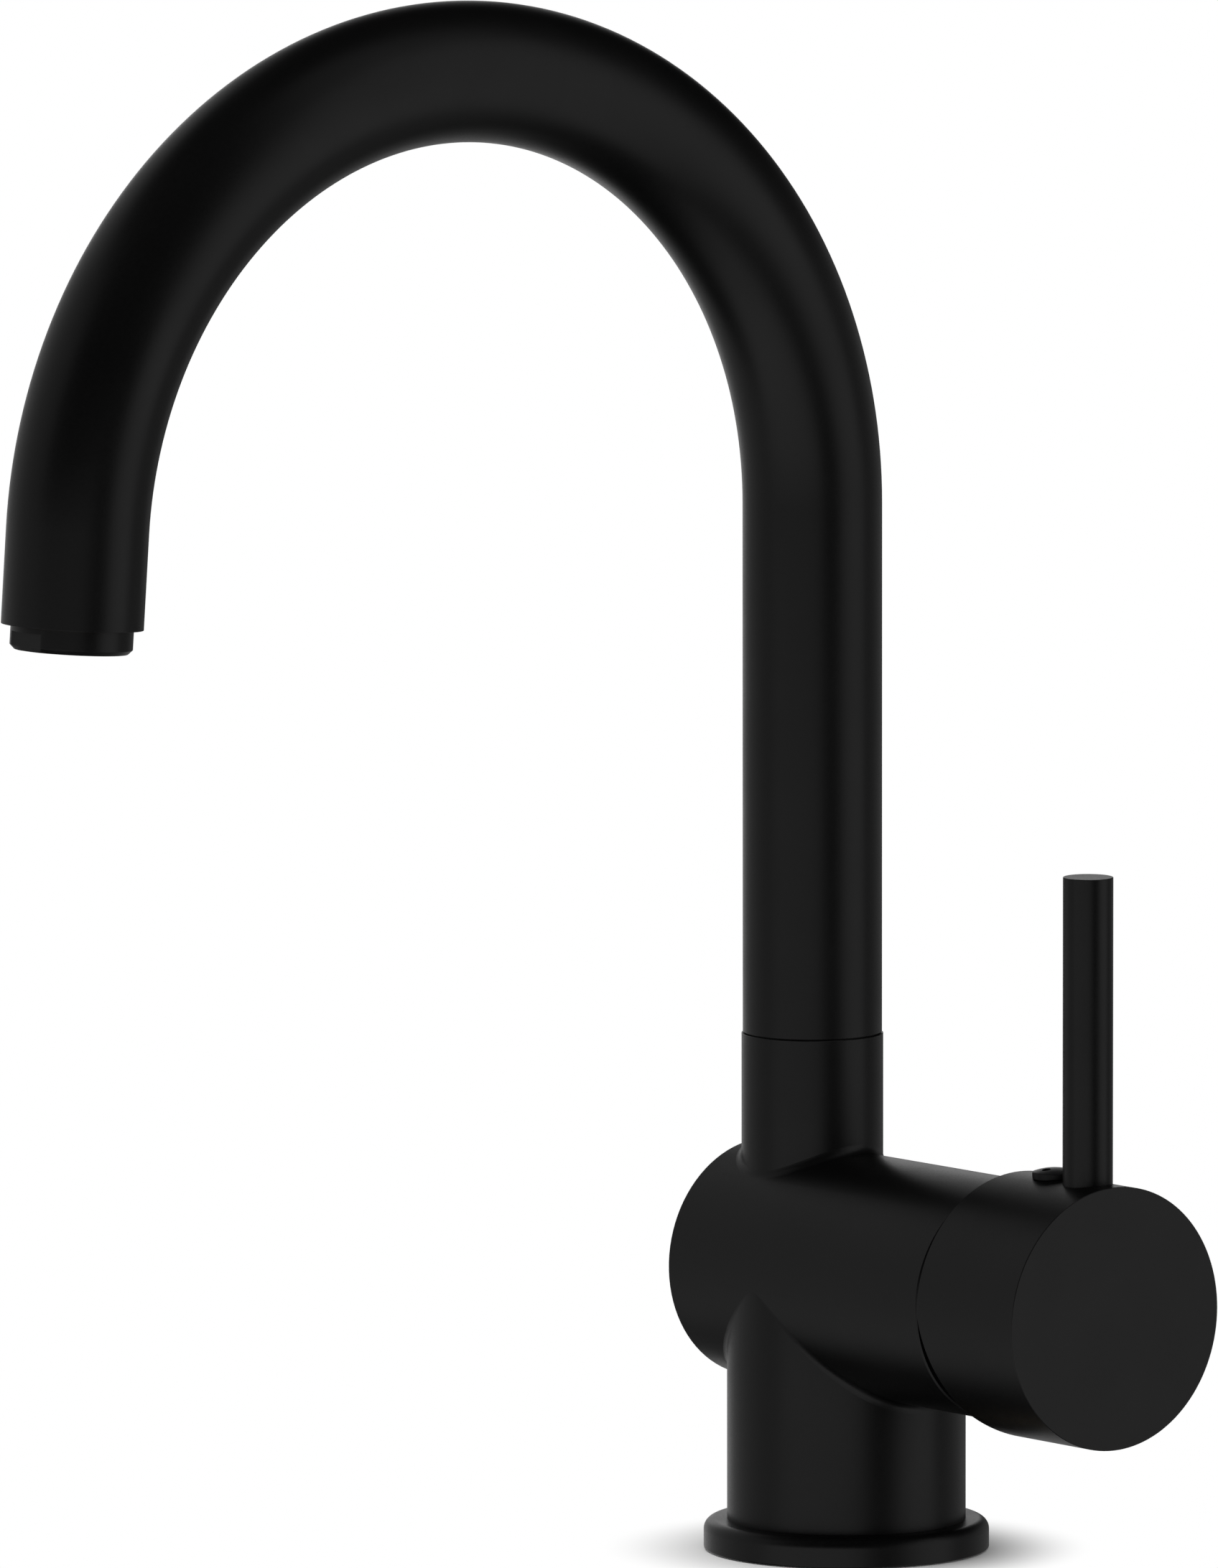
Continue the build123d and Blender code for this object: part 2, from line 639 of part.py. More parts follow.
# Spindle: square bar on the pin, with a ball that moves the disc
with BuildPart() as spindle:
    with BuildSketch(barrel_plane(pivot_x - bar_lead)):
        Rectangle(bar_size, bar_size)
    extrude(amount=spindle_end - pivot_x + bar_lead)
    chamfer(spindle.edges().filter_by(Axis.X), length=bar_corner)
    with BuildSketch(barrel_plane(ball_x)):
        Circle(ball_neck_radius)
    extrude(amount=ball_arm - bar_lead)
    with Locations((ball_x, 0, barrel_height)):
        Sphere(ball_radius)
    with BuildSketch(pin_plane):
        Circle(pin_radius + running_fit)
    extrude(amount=bar_size, both=True, mode=Mode.SUBTRACT)
spindle.part.label = "spindle"

# Knob: round cup with a flat face, cut back below so that it can tip
relief_slope = radians(lift_angle - relief_saving)
relief_end = knob_radius + free_gap
relief_depth = relief_end * tan(relief_slope) + relief_flare
with BuildPart() as handle_knob:
    with BuildSketch(barrel_plane(knob_rear)):
        Circle(knob_radius)
    extrude(amount=knob_length)
    chamfer(handle_knob.edges().group_by(Axis.X)[-1], length=knob_edge)
    with BuildSketch(barrel_plane(knob_rear)):
        Circle(knob_cavity_radius)
    extrude(amount=knob_cavity_depth, mode=Mode.SUBTRACT)
    with BuildSketch(barrel_section):
        with BuildLine():
            straight_end = (knob_rear + relief_straight * tan(relief_slope), -relief_straight)
            flare_end = (knob_rear + relief_depth, -relief_end)
            Polyline(
                flare_end,
                (knob_rear - free_gap, -relief_end),
                (knob_rear - free_gap, 0),
                (knob_rear, 0),
                straight_end,
            )
            TangentArc(straight_end, flare_end, tangent=(sin(relief_slope), -cos(relief_slope)))
        make_face()
    extrude(amount=knob_diameter, both=True, mode=Mode.SUBTRACT)
    # Hollow round the spindle's boss, with a solid rib above it for the rod and the screw
    with BuildSketch(barrel_plane(knob_floor)):
        ring_face(knob_radius - knob_side_wall, knob_boss_radius)
        rib_width = 2 * (lever_radius + knob_rib_wall)
        Rectangle(rib_width, knob_diameter, align=(Align.CENTER, Align.MIN), mode=Mode.SUBTRACT)
    extrude(amount=knob_face - knob_face_wall - knob_floor, mode=Mode.SUBTRACT)
    with BuildSketch(barrel_plane(knob_floor)):
        Rectangle(bar_size + 2 * seat_fit, bar_size + 2 * seat_fit)
    extrude(amount=spindle_grip, mode=Mode.SUBTRACT)
    with BuildSketch(Plane.XY.offset(barrel_height + lever_root)):
        with Locations((lever_x, 0)):
            Circle(lever_radius + seat_fit)
    extrude(amount=knob_radius, mode=Mode.SUBTRACT)
    with BuildSketch(Plane.XY.offset(barrel_height)):
        with Locations((button_x, 0)):
            Circle(grub_radius + seat_fit)
    extrude(amount=knob_radius, mode=Mode.SUBTRACT)
handle_knob.part.label = "handle_knob"

with BuildPart() as lever_rod:
    with BuildSketch(Plane.XY.offset(barrel_height + lever_root)):
        with Locations((lever_x, 0)):
            Circle(lever_radius)
    extrude(amount=lever_top - barrel_height - lever_root)
    chamfer(lever_rod.edges().group_by(Axis.Z)[-1], length=lever_edge)
lever_rod.part.label = "lever_rod"

with BuildPart() as grub_screw:
    with BuildSketch(Plane.XY.offset(bar_top)):
        with Locations((button_x, 0)):
            Circle(grub_radius)
    extrude(amount=grub_length)
    with BuildSketch(Plane.XY.offset(bar_top + grub_length)):
        with Locations((button_x, 0)):
            RegularPolygon(hex_key / 2, 6, major_radius=False)
    extrude(amount=-hex_depth, mode=Mode.SUBTRACT)
grub_screw.part.label = "grub_screw"

# Index button: domed plug in the screw's hole, with a dimple on the hot and on the cold side
button_rim_height = button_base + button_rim
with BuildPart() as index_button:
    with BuildSketch(Plane.XZ):
        with BuildLine():
            Polyline(
                (button_x, button_rim_height + button_dome),
                (button_x, button_base - button_stem_length),
                (button_x + grub_radius, button_base - button_stem_length),
                (button_x + grub_radius, button_base),
                (button_x + button_radius, button_base),
                (button_x + button_radius, button_rim_height),
            )
            SagittaArc(
                (button_x + button_radius, button_rim_height),
                (button_x, button_rim_height + button_dome),
                button_dome / 4,
            )
        make_face()
    revolve(axis=Axis((button_x, 0, 0), (0, 0, 1)))
    with BuildSketch(Plane.XY.offset(button_rim_height + button_dome)):
        with Locations((button_x, -dimple_y), (button_x, dimple_y)):
            Circle(dimple_radius)
    extrude(amount=-dimple_depth - button_dome / 2, mode=Mode.SUBTRACT)
index_button.part.label = "index_button"

# Spout: one bent tube
with BuildPart() as spout_tube:
    with BuildLine(spout_course):
        Line((0, 0), (0, rise_length))
        CenterArc((bend_radius, rise_length), bend_radius, 180, -bend_angle)
        Line(bend_end, outlet_end)
    with BuildSketch(spout_plane(tube_end)):
        ring_face(tube_radius, tube_bore)
    sweep()
spout_tube.part.label = "spout_tube"

# Tail that plugs the spout into its socket, grooved for the rings and the stop screw
with BuildPart() as spout_tail:
    with BuildSketch(spout_plane(tail_end)):
        Circle(land_radius)
    extrude(amount=tube_end - tail_end)
    with BuildSketch(spout_plane(tube_end)):
        Circle(tube_bore - seat_fit)
    extrude(amount=tail_plug_length)
    with BuildSketch(spout_plane(tail_end)):
        Circle(tail_bore_radius)
    extrude(amount=tube_end + tail_plug_length - tail_end, mode=Mode.SUBTRACT)
    with BuildSketch(spout_plane(lower_slide_base)):
        ring_face(land_radius, slide_bore - seat_fit)
    extrude(amount=lower_slide_length, mode=Mode.SUBTRACT)
    with BuildSketch(spout_plane(upper_slide_base)):
        ring_face(land_radius, slide_bore - seat_fit)
    extrude(amount=tube_end - upper_slide_base, mode=Mode.SUBTRACT)
    with BuildSketch(spout_plane(stop_height - stop_screw_radius - free_gap)):
        ring_face(land_radius, stop_groove)
    extrude(amount=2 * (stop_screw_radius + free_gap), mode=Mode.SUBTRACT)
    for ring_height in spout_ring_heights:
        with BuildSketch(spout_plane(ring_height - spout_ring_cord / 2 - groove_play)):
            ring_face(land_radius, ring_groove - seat_fit)
        extrude(amount=spout_ring_cord + 2 * groove_play, mode=Mode.SUBTRACT)
spout_tail.part.label = "spout_tail"

with BuildPart() as spout_o_rings:
    with BuildSketch(Plane.XZ):
        with Locations(*[(spout_x + slide_radius - spout_ring_cord / 2, z) for z in spout_ring_heights]):
            Circle(spout_ring_cord / 2)
    revolve(axis=Axis((spout_x, 0, 0), (0, 0, 1)))
spout_o_rings.part.label = "spout_o_rings"

with BuildPart() as upper_slide_ring:
    with BuildSketch(spout_plane(upper_slide_base)):
        ring_face(slide_radius, slide_bore)
    extrude(amount=tube_end - upper_slide_base)
    with BuildSketch(spout_plane(slide_flange_base)):
        ring_face(tube_radius - seam_inset, slide_bore)
    extrude(amount=slide_flange)
upper_slide_ring.part.label = "upper_slide_ring"

with BuildPart() as lower_slide_ring:
    with BuildSketch(spout_plane(lower_slide_base)):
        ring_face(slide_radius, slide_bore)
    extrude(amount=lower_slide_length)
lower_slide_ring.part.label = "lower_slide_ring"

# Stop screw at the back of the socket, its tip in the tail's groove
stop_tip = stop_groove + free_gap
stop_head = socket_radius - free_gap
with BuildPart() as spout_stop_screw:
    with BuildSketch(Plane(origin=(spout_x, stop_tip, stop_height), x_dir=(1, 0, 0), z_dir=(0, 1, 0))):
        Circle(stop_screw_radius)
    extrude(amount=stop_head - stop_tip)
    with BuildSketch(Plane(origin=(spout_x, stop_head, stop_height), x_dir=(1, 0, 0), z_dir=(0, 1, 0))):
        RegularPolygon(hex_key / 2, 6, major_radius=False)
    extrude(amount=-hex_depth, mode=Mode.SUBTRACT)
spout_stop_screw.part.label = "spout_stop_screw"

# Threaded bush in the outlet end of the spout
with BuildPart() as outlet_bush:
    with BuildSketch(outlet_plane):
        ring_face(tube_bore - seat_fit, thread_radius)
    extrude(amount=-bush_length)
    with BuildSketch(outlet_plane.offset(-bush_length)):
        ring_face(tube_bore - seat_fit, bush_lip_radius)
    extrude(amount=bush_lip)
outlet_bush.part.label = "outlet_bush"

# Aerator: collar with two wrench flats, rubber washer, flow former and screen
thread_length = bush_length - bush_lip - washer_thickness
former_length = thread_length + collar_length - former_lip_length - screen_thickness
with BuildPart() as aerator_housing:
    with BuildSketch(outlet_plane):
        Circle(collar_radius)
    extrude(amount=collar_length)
    chamfer(aerator_housing.faces().sort_by(Axis.Z)[0].edges(), length=collar_chamfer)
    with BuildSketch(outlet_plane.offset(collar_length)):
        for side in (-1, 1):
            with Locations((0, side * collar_radius)):
                Rectangle(2 * collar_radius, 2 * flat_depth)
    extrude(amount=-flat_length, mode=Mode.SUBTRACT)
    with BuildSketch(outlet_plane):
        Circle(thread_radius - seat_fit)
    extrude(amount=-thread_length)
    with BuildSketch(outlet_plane.offset(collar_length - former_lip_length)):
        Circle(former_radius)
    extrude(amount=-former_length - screen_thickness, mode=Mode.SUBTRACT)
    with BuildSketch(outlet_plane.offset(collar_length)):
        Circle(former_radius - former_lip)
    extrude(amount=-former_lip_length, mode=Mode.SUBTRACT)
aerator_housing.part.label = "aerator_housing"

with BuildPart() as aerator_washer:
    with BuildSketch(outlet_plane.offset(-thread_length)):
        ring_face(thread_radius - seat_fit, thread_radius - washer_wall)
    extrude(amount=-washer_thickness)
aerator_washer.part.label = "aerator_washer"

with BuildPart() as aerator_insert:
    with BuildSketch(outlet_plane.offset(screen_thickness - thread_length)):
        ring_face(former_radius - seat_fit, former_radius - former_rim)
    extrude(amount=former_length)
    with BuildSketch(outlet_plane.offset(collar_length - former_lip_length)):
        Circle(former_hub_radius)
        with PolarLocations(0, former_spokes):
            Rectangle(former_radius - former_rim / 2, former_spoke_width, align=(Align.MIN, Align.CENTER))
    extrude(amount=-former_web)
aerator_insert.part.label = "aerator_insert"

with BuildPart() as aerator_screen:
    with BuildSketch(outlet_plane.offset(-thread_length)):
        Circle(former_radius - seat_fit)
        Circle(screen_hole_radius, mode=Mode.SUBTRACT)
        for ring in range(1, screen_rings + 1):
            with PolarLocations(ring * screen_pitch, 6 * ring):
                Circle(screen_hole_radius, mode=Mode.SUBTRACT)
    extrude(amount=screen_thickness)
aerator_screen.part.label = "aerator_screen"

pieces = [
    body_casting, base_ring, base_seal, fixing_stud, clamp_gasket, clamp_washer, clamp_nut,
    cartridge_base, cartridge_seals, cartridge_housing, fixed_disc, cartridge_nut, trim_ring,
    moving_disc, disc_carrier, cartridge_rotor, rotor_o_ring, lever_pin, spindle,
    handle_knob, lever_rod, grub_screw, index_button,
    spout_tube, spout_tail, spout_o_rings, upper_slide_ring, lower_slide_ring, spout_stop_screw,
    outlet_bush, aerator_housing, aerator_washer, aerator_insert, aerator_screen,
]
os.makedirs("parts", exist_ok=True)
for piece in pieces:
    export_step(piece.part, f"parts/{piece.part.label}.step")
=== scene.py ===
from collections import namedtuple
from math import cos, pi, radians, sin, sqrt, tan

import bmesh
import bpy
from bpy.props import FloatProperty, FloatVectorProperty, PointerProperty
from bpy.types import NodeSocket, Operator, Panel, PropertyGroup
from mathutils import Matrix, Quaternion, Vector


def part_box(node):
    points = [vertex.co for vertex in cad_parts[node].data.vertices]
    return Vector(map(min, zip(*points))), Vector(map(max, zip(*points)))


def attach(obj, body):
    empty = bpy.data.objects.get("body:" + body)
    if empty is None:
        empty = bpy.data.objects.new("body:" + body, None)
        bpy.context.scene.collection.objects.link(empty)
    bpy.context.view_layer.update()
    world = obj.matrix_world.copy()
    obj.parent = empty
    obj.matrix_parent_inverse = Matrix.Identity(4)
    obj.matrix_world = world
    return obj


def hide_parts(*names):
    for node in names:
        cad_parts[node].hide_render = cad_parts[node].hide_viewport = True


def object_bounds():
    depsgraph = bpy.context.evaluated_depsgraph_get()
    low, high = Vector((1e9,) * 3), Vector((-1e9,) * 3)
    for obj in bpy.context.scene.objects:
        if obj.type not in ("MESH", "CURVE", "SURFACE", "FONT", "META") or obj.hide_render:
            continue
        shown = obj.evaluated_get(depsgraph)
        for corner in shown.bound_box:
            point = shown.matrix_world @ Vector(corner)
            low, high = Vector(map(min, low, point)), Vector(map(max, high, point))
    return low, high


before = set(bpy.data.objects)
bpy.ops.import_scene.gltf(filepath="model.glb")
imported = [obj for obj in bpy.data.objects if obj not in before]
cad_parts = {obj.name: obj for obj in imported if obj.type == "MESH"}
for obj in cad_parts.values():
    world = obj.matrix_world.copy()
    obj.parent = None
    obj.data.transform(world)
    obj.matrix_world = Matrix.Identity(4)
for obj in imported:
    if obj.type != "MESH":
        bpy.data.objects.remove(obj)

bl_info = {
    "name": "High-arc kitchen faucet",
    "version": (1, 0, 0),
    "blender": (4, 5, 0),
    "location": "3D View > Sidebar > Faucet",
    "description": "Finishes the packed faucet with fine pieces, coatings and a plain studio",
    "category": "Object",
}

CAD_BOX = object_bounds()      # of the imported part, before any piece is remade

UP = Vector((0, 0, 1))
BACK = Vector((0, 1, 0))
SIDE = Vector((1, 0, 0))   # along the barrel and the cartridge
SAME_PLACE = 1e-7          # points that are closer than this, in metres, count as one
SHARP_ANGLE = radians(40)  # edges that turn by more stay sharp
THREAD_ROWS = 8            # rings of points for each pitch of a thread


def length(name, description, default):
    """Property for a size in metres."""
    return FloatProperty(
        name=name, description=description, default=default, min=0.0, unit="LENGTH", precision=5
    )


def angle(name, description, degrees):
    """Property for an angle, given in degrees."""
    return FloatProperty(name=name, description=description, default=radians(degrees), subtype="ANGLE")


def share(name, description, default):
    """Property for a share between 0 and 1."""
    return FloatProperty(
        name=name, description=description, default=default, min=0.0, max=1.0, subtype="FACTOR"
    )


def colour(name, description, default):
    """Property for a colour."""
    return FloatVectorProperty(
        name=name, description=description, default=default, min=0.0, max=1.0, size=3, subtype="COLOR"
    )


class FaucetSizes(PropertyGroup):
    """Sizes that the frame's boxes don't give."""

    tube_wall: length("Tube wall", "Thickness of the spout's tube", 0.001)
    tube_lip: length("Tube lip", "Rounding of the tube's two ends", 0.00008)
    bend_radius: length("Bend radius", "Radius of the spout's centre line", 0.0916)
    bend_angle: angle("Bend angle", "Turn of the spout's bend", 175.8)
    outlet_length: length("Outlet length", "Straight stretch before the outlet", 0.01875)

    foot_wall: length("Foot wall", "Width of the foot from its bore to its edge", 0.00768)
    foot_rounding: length("Foot rounding", "Rounding of the foot's top edge", 0.0022)
    foot_edge: length("Foot edge", "Rounding of the foot's lower edge, twice that of its bore", 0.0004)
    seal_groove: length("Seal groove", "Width of the groove under the foot", 0.003)
    seal_groove_depth: length("Seal groove depth", "Depth of the groove under the foot", 0.0012)

    lever_edge: length("Lever edge", "Rounding of the lever rod's top, twice that of its foot", 0.00015)
    button_lift: length("Button lift", "Gap between the index button and the knob", 0.00008)
    button_skirt: length("Button skirt", "Height of the index button's rim", 0.00102)
    button_dome: length("Button dome", "Height of the index button's dome", 0.00082)
    button_stem: length("Button stem", "Radius of the index button's stem", 0.0025)
    button_edge: length("Button edge", "Rounding of the index button's rim", 0.00015)
    dimple_offset: length("Dimple offset", "Distance of a dimple from the button's centre", 0.0022)
    dimple_radius: length("Dimple radius", "Radius of a dimple on the button", 0.0009)
    dimple_depth: length("Dimple depth", "Depth of a dimple on the button", 0.0005)

    collar_length: length("Collar length", "From the tube's end to the aerator's outlet", 0.00485)
    collar_step: length("Collar step", "The collar stands this far over its thread", 0.00012)
    collar_chamfer: length("Collar chamfer", "Chamfer of the collar's lower edge", 0.0009)
    collar_edge: length("Collar edge", "Rounding of the collar's edges", 0.0001)
    flat_depth: length("Flat depth", "Depth of the collar's two wrench flats", 0.00105)
    flat_length: length("Flat length", "The flats reach up this far from the outlet", 0.00365)
    flat_step: length("Flat step", "Height over which a flat runs out at its upper end", 0.000025)
    collar_wall: length("Collar wall", "Wall of the collar round the flow former", 0.00238)
    collar_lip: length("Collar lip", "Inner lip that holds the flow former", 0.0007)
    collar_lip_height: length("Collar lip height", "Height of that lip", 0.0008)
    collar_thread: length("Collar thread", "Length of the collar's thread", 0.009)

    fine_pitch: length("Fine pitch", "Pitch of the aerator's thread", 0.001)
    fine_depth: length("Fine depth", "Depth of the aerator's thread", 0.0006)
    stud_pitch: length("Stud pitch", "Pitch of the stud's thread", 0.00125)
    stud_depth: length("Stud depth", "Depth of the stud's thread", 0.00075)
    screw_pitch: length("Screw pitch", "Pitch of the small screws' threads", 0.0007)
    screw_depth: length("Screw depth", "Depth of the small screws' threads", 0.000385)
    screw_key: length("Screw key", "Key size of the small screws", 0.0025)
    screw_key_depth: length("Screw key depth", "Depth of their key sockets", 0.0025)
    nut_chamfer: length("Nut chamfer", "Height of the cones at the clamp nut's ends", 0.0012)
    nut_face: share("Nut face", "Width of the clamp nut's end faces, as a share of its flats", 0.96)
    nut_play: length("Nut play", "Play of the clamp nut on the stud", 0.00002)


class FaucetFinishes(PropertyGroup):
    """Colours and textures of the faucet's finishes."""

    coat: colour("Black coat", "Matt black coating of the visible pieces", (0.0021, 0.0021, 0.00215))
    coat_rub: colour("Rubbed coat", "Coating where hands rub it along the edges", (0.006, 0.006, 0.006))
    coat_gloss: share("Coat roughness", "Roughness of the coating", 0.38)
    coat_shine: share("Coat shine", "Strength of the coating's reflections", 0.2)
    coat_grain: length("Coat grain", "Size of the coating's grain", 0.00035)
    trim: colour("Black trim", "Moulded black plastic", (0.006, 0.006, 0.0062))
    trim_shine: share("Trim shine", "Strength of the black plastic's reflections", 0.1)
    brass: colour("Brass", "Turned brass", (0.72, 0.52, 0.25))
    steel: colour("Steel", "Plated steel", (0.60, 0.61, 0.62))
    rubber: colour("Rubber", "Black rubber", (0.022, 0.022, 0.022))
    rubber_bloom: colour("Rubber bloom", "Pale bloom on the rubber", (0.075, 0.074, 0.070))
    plastic: colour("Cartridge plastic", "Moulded grey plastic of the cartridge", (0.62, 0.63, 0.64))
    ceramic: colour("Ceramic", "Lapped ceramic of the discs", (0.86, 0.85, 0.82))


class FaucetStudio(PropertyGroup):
    """Camera, floor and light."""

    camera_side: angle("Camera side", "Camera's way round the faucet, from its front", 52.147)
    camera_rise: angle("Camera rise", "Camera's height angle", 6.892)
    camera_roll: angle("Camera roll", "Camera's turn about its line of sight", -0.0695)
    camera_distance: length("Camera distance", "From the camera to the point it looks at", 4.28557)
    camera_aim: FloatVectorProperty(
        name="Camera aim",
        description="Point that the camera looks at",
        default=(-0.03004, -0.03689, 0.15447),
        subtype="TRANSLATION",
        unit="LENGTH",
    )
    camera_lens: FloatProperty(
        name="Lens", description="Focal length in millimetres", default=490.96, unit="CAMERA"
    )
    floor: colour("Floor", "Pale counter top", (0.92, 0.92, 0.915))
    floor_radius: length("Floor radius", "Radius of the counter top", 2.0)
    floor_drop: length("Floor drop", "The counter top lies this far below the foot", 0.0002)
    floor_near: length("Near floor", "The floor keeps its own shading up to here", 0.026)
    floor_far: length("Far floor", "The floor is plain white from here", 0.05)
    sky_level: share("Sky level", "Light of the white room on the object", 0.55)
    lamp_power: FloatProperty(
        name="Lamp", description="Power of the soft overhead lamp", default=11.0, unit="POWER"
    )
    lamp_size: length("Lamp size", "Diameter of the lamp", 1.2)
    lamp_distance: length("Lamp distance", "From the lamp to the faucet's middle", 1.5)
    lamp_side: angle("Lamp side", "Lamp's way round the faucet, from the camera", -50)
    lamp_rise: angle("Lamp rise", "Lamp's height angle", 68)


# Profiles and turned meshes


NodeBox = namedtuple("NodeBox", "low high middle size")


def node_box(node):
    """A node's box at rest: its lowest and highest corners, its middle and its size."""
    low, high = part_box(node)
    return NodeBox(low, high, (low + high) / 2, high - low)


def steps_between(low, high, count):
    """Values that divide a stretch into count equal parts."""
    return [low + (high - low) * step / count for step in range(count + 1)]


def rounded(corners, steps=6):
    """Closed profile through corners of (radius, height, rounding)."""
    profile = []
    for index, (x, y, rounding) in enumerate(corners):
        if rounding == 0:
            profile.append((x, y))
            continue
        corner = Vector((x, y))
        before = (Vector(corners[index - 1][:2]) - corner).normalized()
        after = (Vector(corners[(index + 1) % len(corners)][:2]) - corner).normalized()
        half_angle = before.angle(after) / 2
        reach = rounding / tan(half_angle)
        middle = corner + (before + after).normalized() * rounding / sin(half_angle)
        first = corner + before * reach - middle
        last = corner + after * reach - middle
        turn = first.angle_signed(last)
        for step in range(steps + 1):
            point = middle + Matrix.Rotation(-turn * step / steps, 2) @ first
            profile.append((point.x, point.y))
    return profile


def divided(profile, heights):
    """Profile with more points where its upright edges cross the given heights."""
    points = []
    for (radius, height), (next_radius, next_height) in zip(profile, profile[1:] + profile[:1]):
        points.append((radius, height))
        if abs(radius - next_radius) > SAME_PLACE:
            continue
        low, high = sorted((height, next_height))
        between = [stop for stop in heights if low + SAME_PLACE < stop < high - SAME_PLACE]
        points.extend((radius, stop) for stop in sorted(between, reverse=height > next_height))
    return points


def straight_axis(origin, direction=UP):
    """Frames along an axis that is square to SIDE: a function from the height on it to the frame there."""
    along = Vector(direction).normalized()
    basis = Matrix((SIDE, along.cross(SIDE), along)).transposed().to_4x4()
    start = Matrix.Translation(origin) @ basis
    return lambda height: start @ Matrix.Translation((0, 0, height))


def upright_axis(middle):
    """Frames along the upright line through a point, with heights from the deck."""
    return straight_axis((middle.x, middle.y, 0))


def turned(profile, axis, segments, shape=None):
    """Mesh of a closed profile turned about an axis.

    shape gives the radius for a profile point's radius, height and turn, for flats and threads.
    """
    mesh = bmesh.new()
    turns = steps_between(0, 2 * pi, segments)[:-1]
    rings = []
    for radius, height in profile:
        place = axis(height)
        if radius < SAME_PLACE:
            rings.append([mesh.verts.new(place.translation)])
            continue
        radii = [shape(radius, height, turn) if shape else radius for turn in turns]
        points = [place @ Vector((r * cos(turn), r * sin(turn), 0)) for r, turn in zip(radii, turns)]
        rings.append([mesh.verts.new(point) for point in points])
    for ring, following in zip(rings, rings[1:] + rings[:1]):
        count = max(len(ring), len(following))
        if count == 1:
            continue
        for step in range(count):
            corners = (
                ring[step % len(ring)],
                ring[(step + 1) % len(ring)],
                following[(step + 1) % len(following)],
                following[step % len(following)],
            )
            mesh.faces.new(dict.fromkeys(corners))
    return mesh


def thread_cut(height, turn, pitch):
    """Depth of a screw thread at a place on it, from 0 on the crest to 1 at the root."""
    steepness = 1.7    # of the flanks
    crest = 0.25       # leaves the crests flat
    phase = (height / pitch - turn / (2 * pi)) % 1
    zigzag = 1 - abs(2 * phase - 1)
    return max(0.0, min(1.0, steepness * zigzag - crest))


def threaded(crest, pitch, depth):
    """Shape that cuts a thread where a profile has the thread's outer radius."""

    def shape(radius, height, turn):
        if radius != crest:
            return radius
        return radius - depth * thread_cut(height, turn, pitch)

    return shape


def thread_rows(low, high, whole, pitch):
    """Heights of the rings between low and high, spaced as on a thread of the whole length."""
    return steps_between(low, high, int(THREAD_ROWS * whole / pitch))


def hexagon_radius(turn, flat):
    """Distance from a hexagon's centre to its edge. flat is that to the middle of a side."""
    step = pi / 3
    return flat / cos((turn % step) - step / 2)


def loose_object(name, mesh):
    """Put a mesh in the scene as an object of its own."""
    data = bpy.data.meshes.new(name)
    mesh.to_mesh(data)
    mesh.free()
    made = bpy.data.objects.new(name, data)
    bpy.context.scene.collection.objects.link(made)
    return made


def drilled(mesh, drills):
    """Mesh with the drills' meshes cut out of it."""
    blank = loose_object("Blank", mesh)
    tools = [loose_object("Drill", drill) for drill in drills]
    for tool in tools:
        hole = blank.modifiers.new("Hole", "BOOLEAN")
        hole.operation = "DIFFERENCE"
        hole.object = tool
    cut = bmesh.new()
    cut.from_object(blank, bpy.context.evaluated_depsgraph_get())
    for spare in (blank, *tools):
        bpy.data.meshes.remove(spare.data)
    return cut


def add_piece(name, mesh, body, slot, coating, *nodes):
    """Put a mesh in the scene as a piece that rides on a body and stands for CAD nodes."""
    bmesh.ops.recalc_face_normals(mesh, faces=mesh.faces)
    piece = loose_object(name, mesh)
    piece.data.shade_smooth()
    piece.data.set_sharp_from_angle(angle=SHARP_ANGLE)
    piece.data.materials.append(coating)
    normals = piece.modifiers.new("Weighted normals", "WEIGHTED_NORMAL")
    normals.keep_sharp = True
    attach(piece, body)
    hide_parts(*nodes)


def dress(coating, *nodes):
    """Give carried-over nodes their finish."""
    for node in nodes:
        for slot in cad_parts[node].material_slots:
            slot.material = coating


# Finishes


# Colour sockets of a Mix node, whose other sockets have the same names
MIX_LOW, MIX_HIGH, MIX_RESULT = 6, 7, 2


def empty_tree(owner):
    """Node tree of a material or a world, with its nodes cleared."""
    owner.use_nodes = True
    owner.node_tree.nodes.clear()
    return owner.node_tree


def add_node(tree, kind, inputs=None, **settings):
    """Add a shader node, set it up, and set or link its inputs."""
    node = tree.nodes.new(kind)
    for setting, value in settings.items():
        setattr(node, setting, value)
    for socket, value in (inputs or {}).items():
        if isinstance(value, NodeSocket):
            tree.links.new(value, node.inputs[socket])
        else:
            node.inputs[socket].default_value = value
    return node


def number_math(tree, operation, *values):
    """Result of an operation on numbers or sockets."""
    return add_node(tree, "ShaderNodeMath", dict(enumerate(values)), operation=operation).outputs[0]


def vector_math(tree, operation, *values):
    """Outputs of an operation on vectors or sockets."""
    return add_node(tree, "ShaderNodeVectorMath", dict(enumerate(values)), operation=operation).outputs


def spread(tree, mask, low, high):
    """Map a mask from 0..1 to low..high."""
    inputs = {"Value": mask, "To Min": low, "To Max": high}
    return add_node(tree, "ShaderNodeMapRange", inputs).outputs["Result"]


def stretched(tree, value, low=0.25, high=0.75, **settings):
    """Mask that goes from 0 where a value is low to 1 where it is high. The defaults suit noise."""
    inputs = {"Value": value, "From Min": low, "From Max": high}
    return add_node(tree, "ShaderNodeMapRange", inputs, **settings).outputs["Result"]


def thinned(tree, mask, power):
    """Mask that keeps only its strongest places."""
    return number_math(tree, "POWER", mask, power)


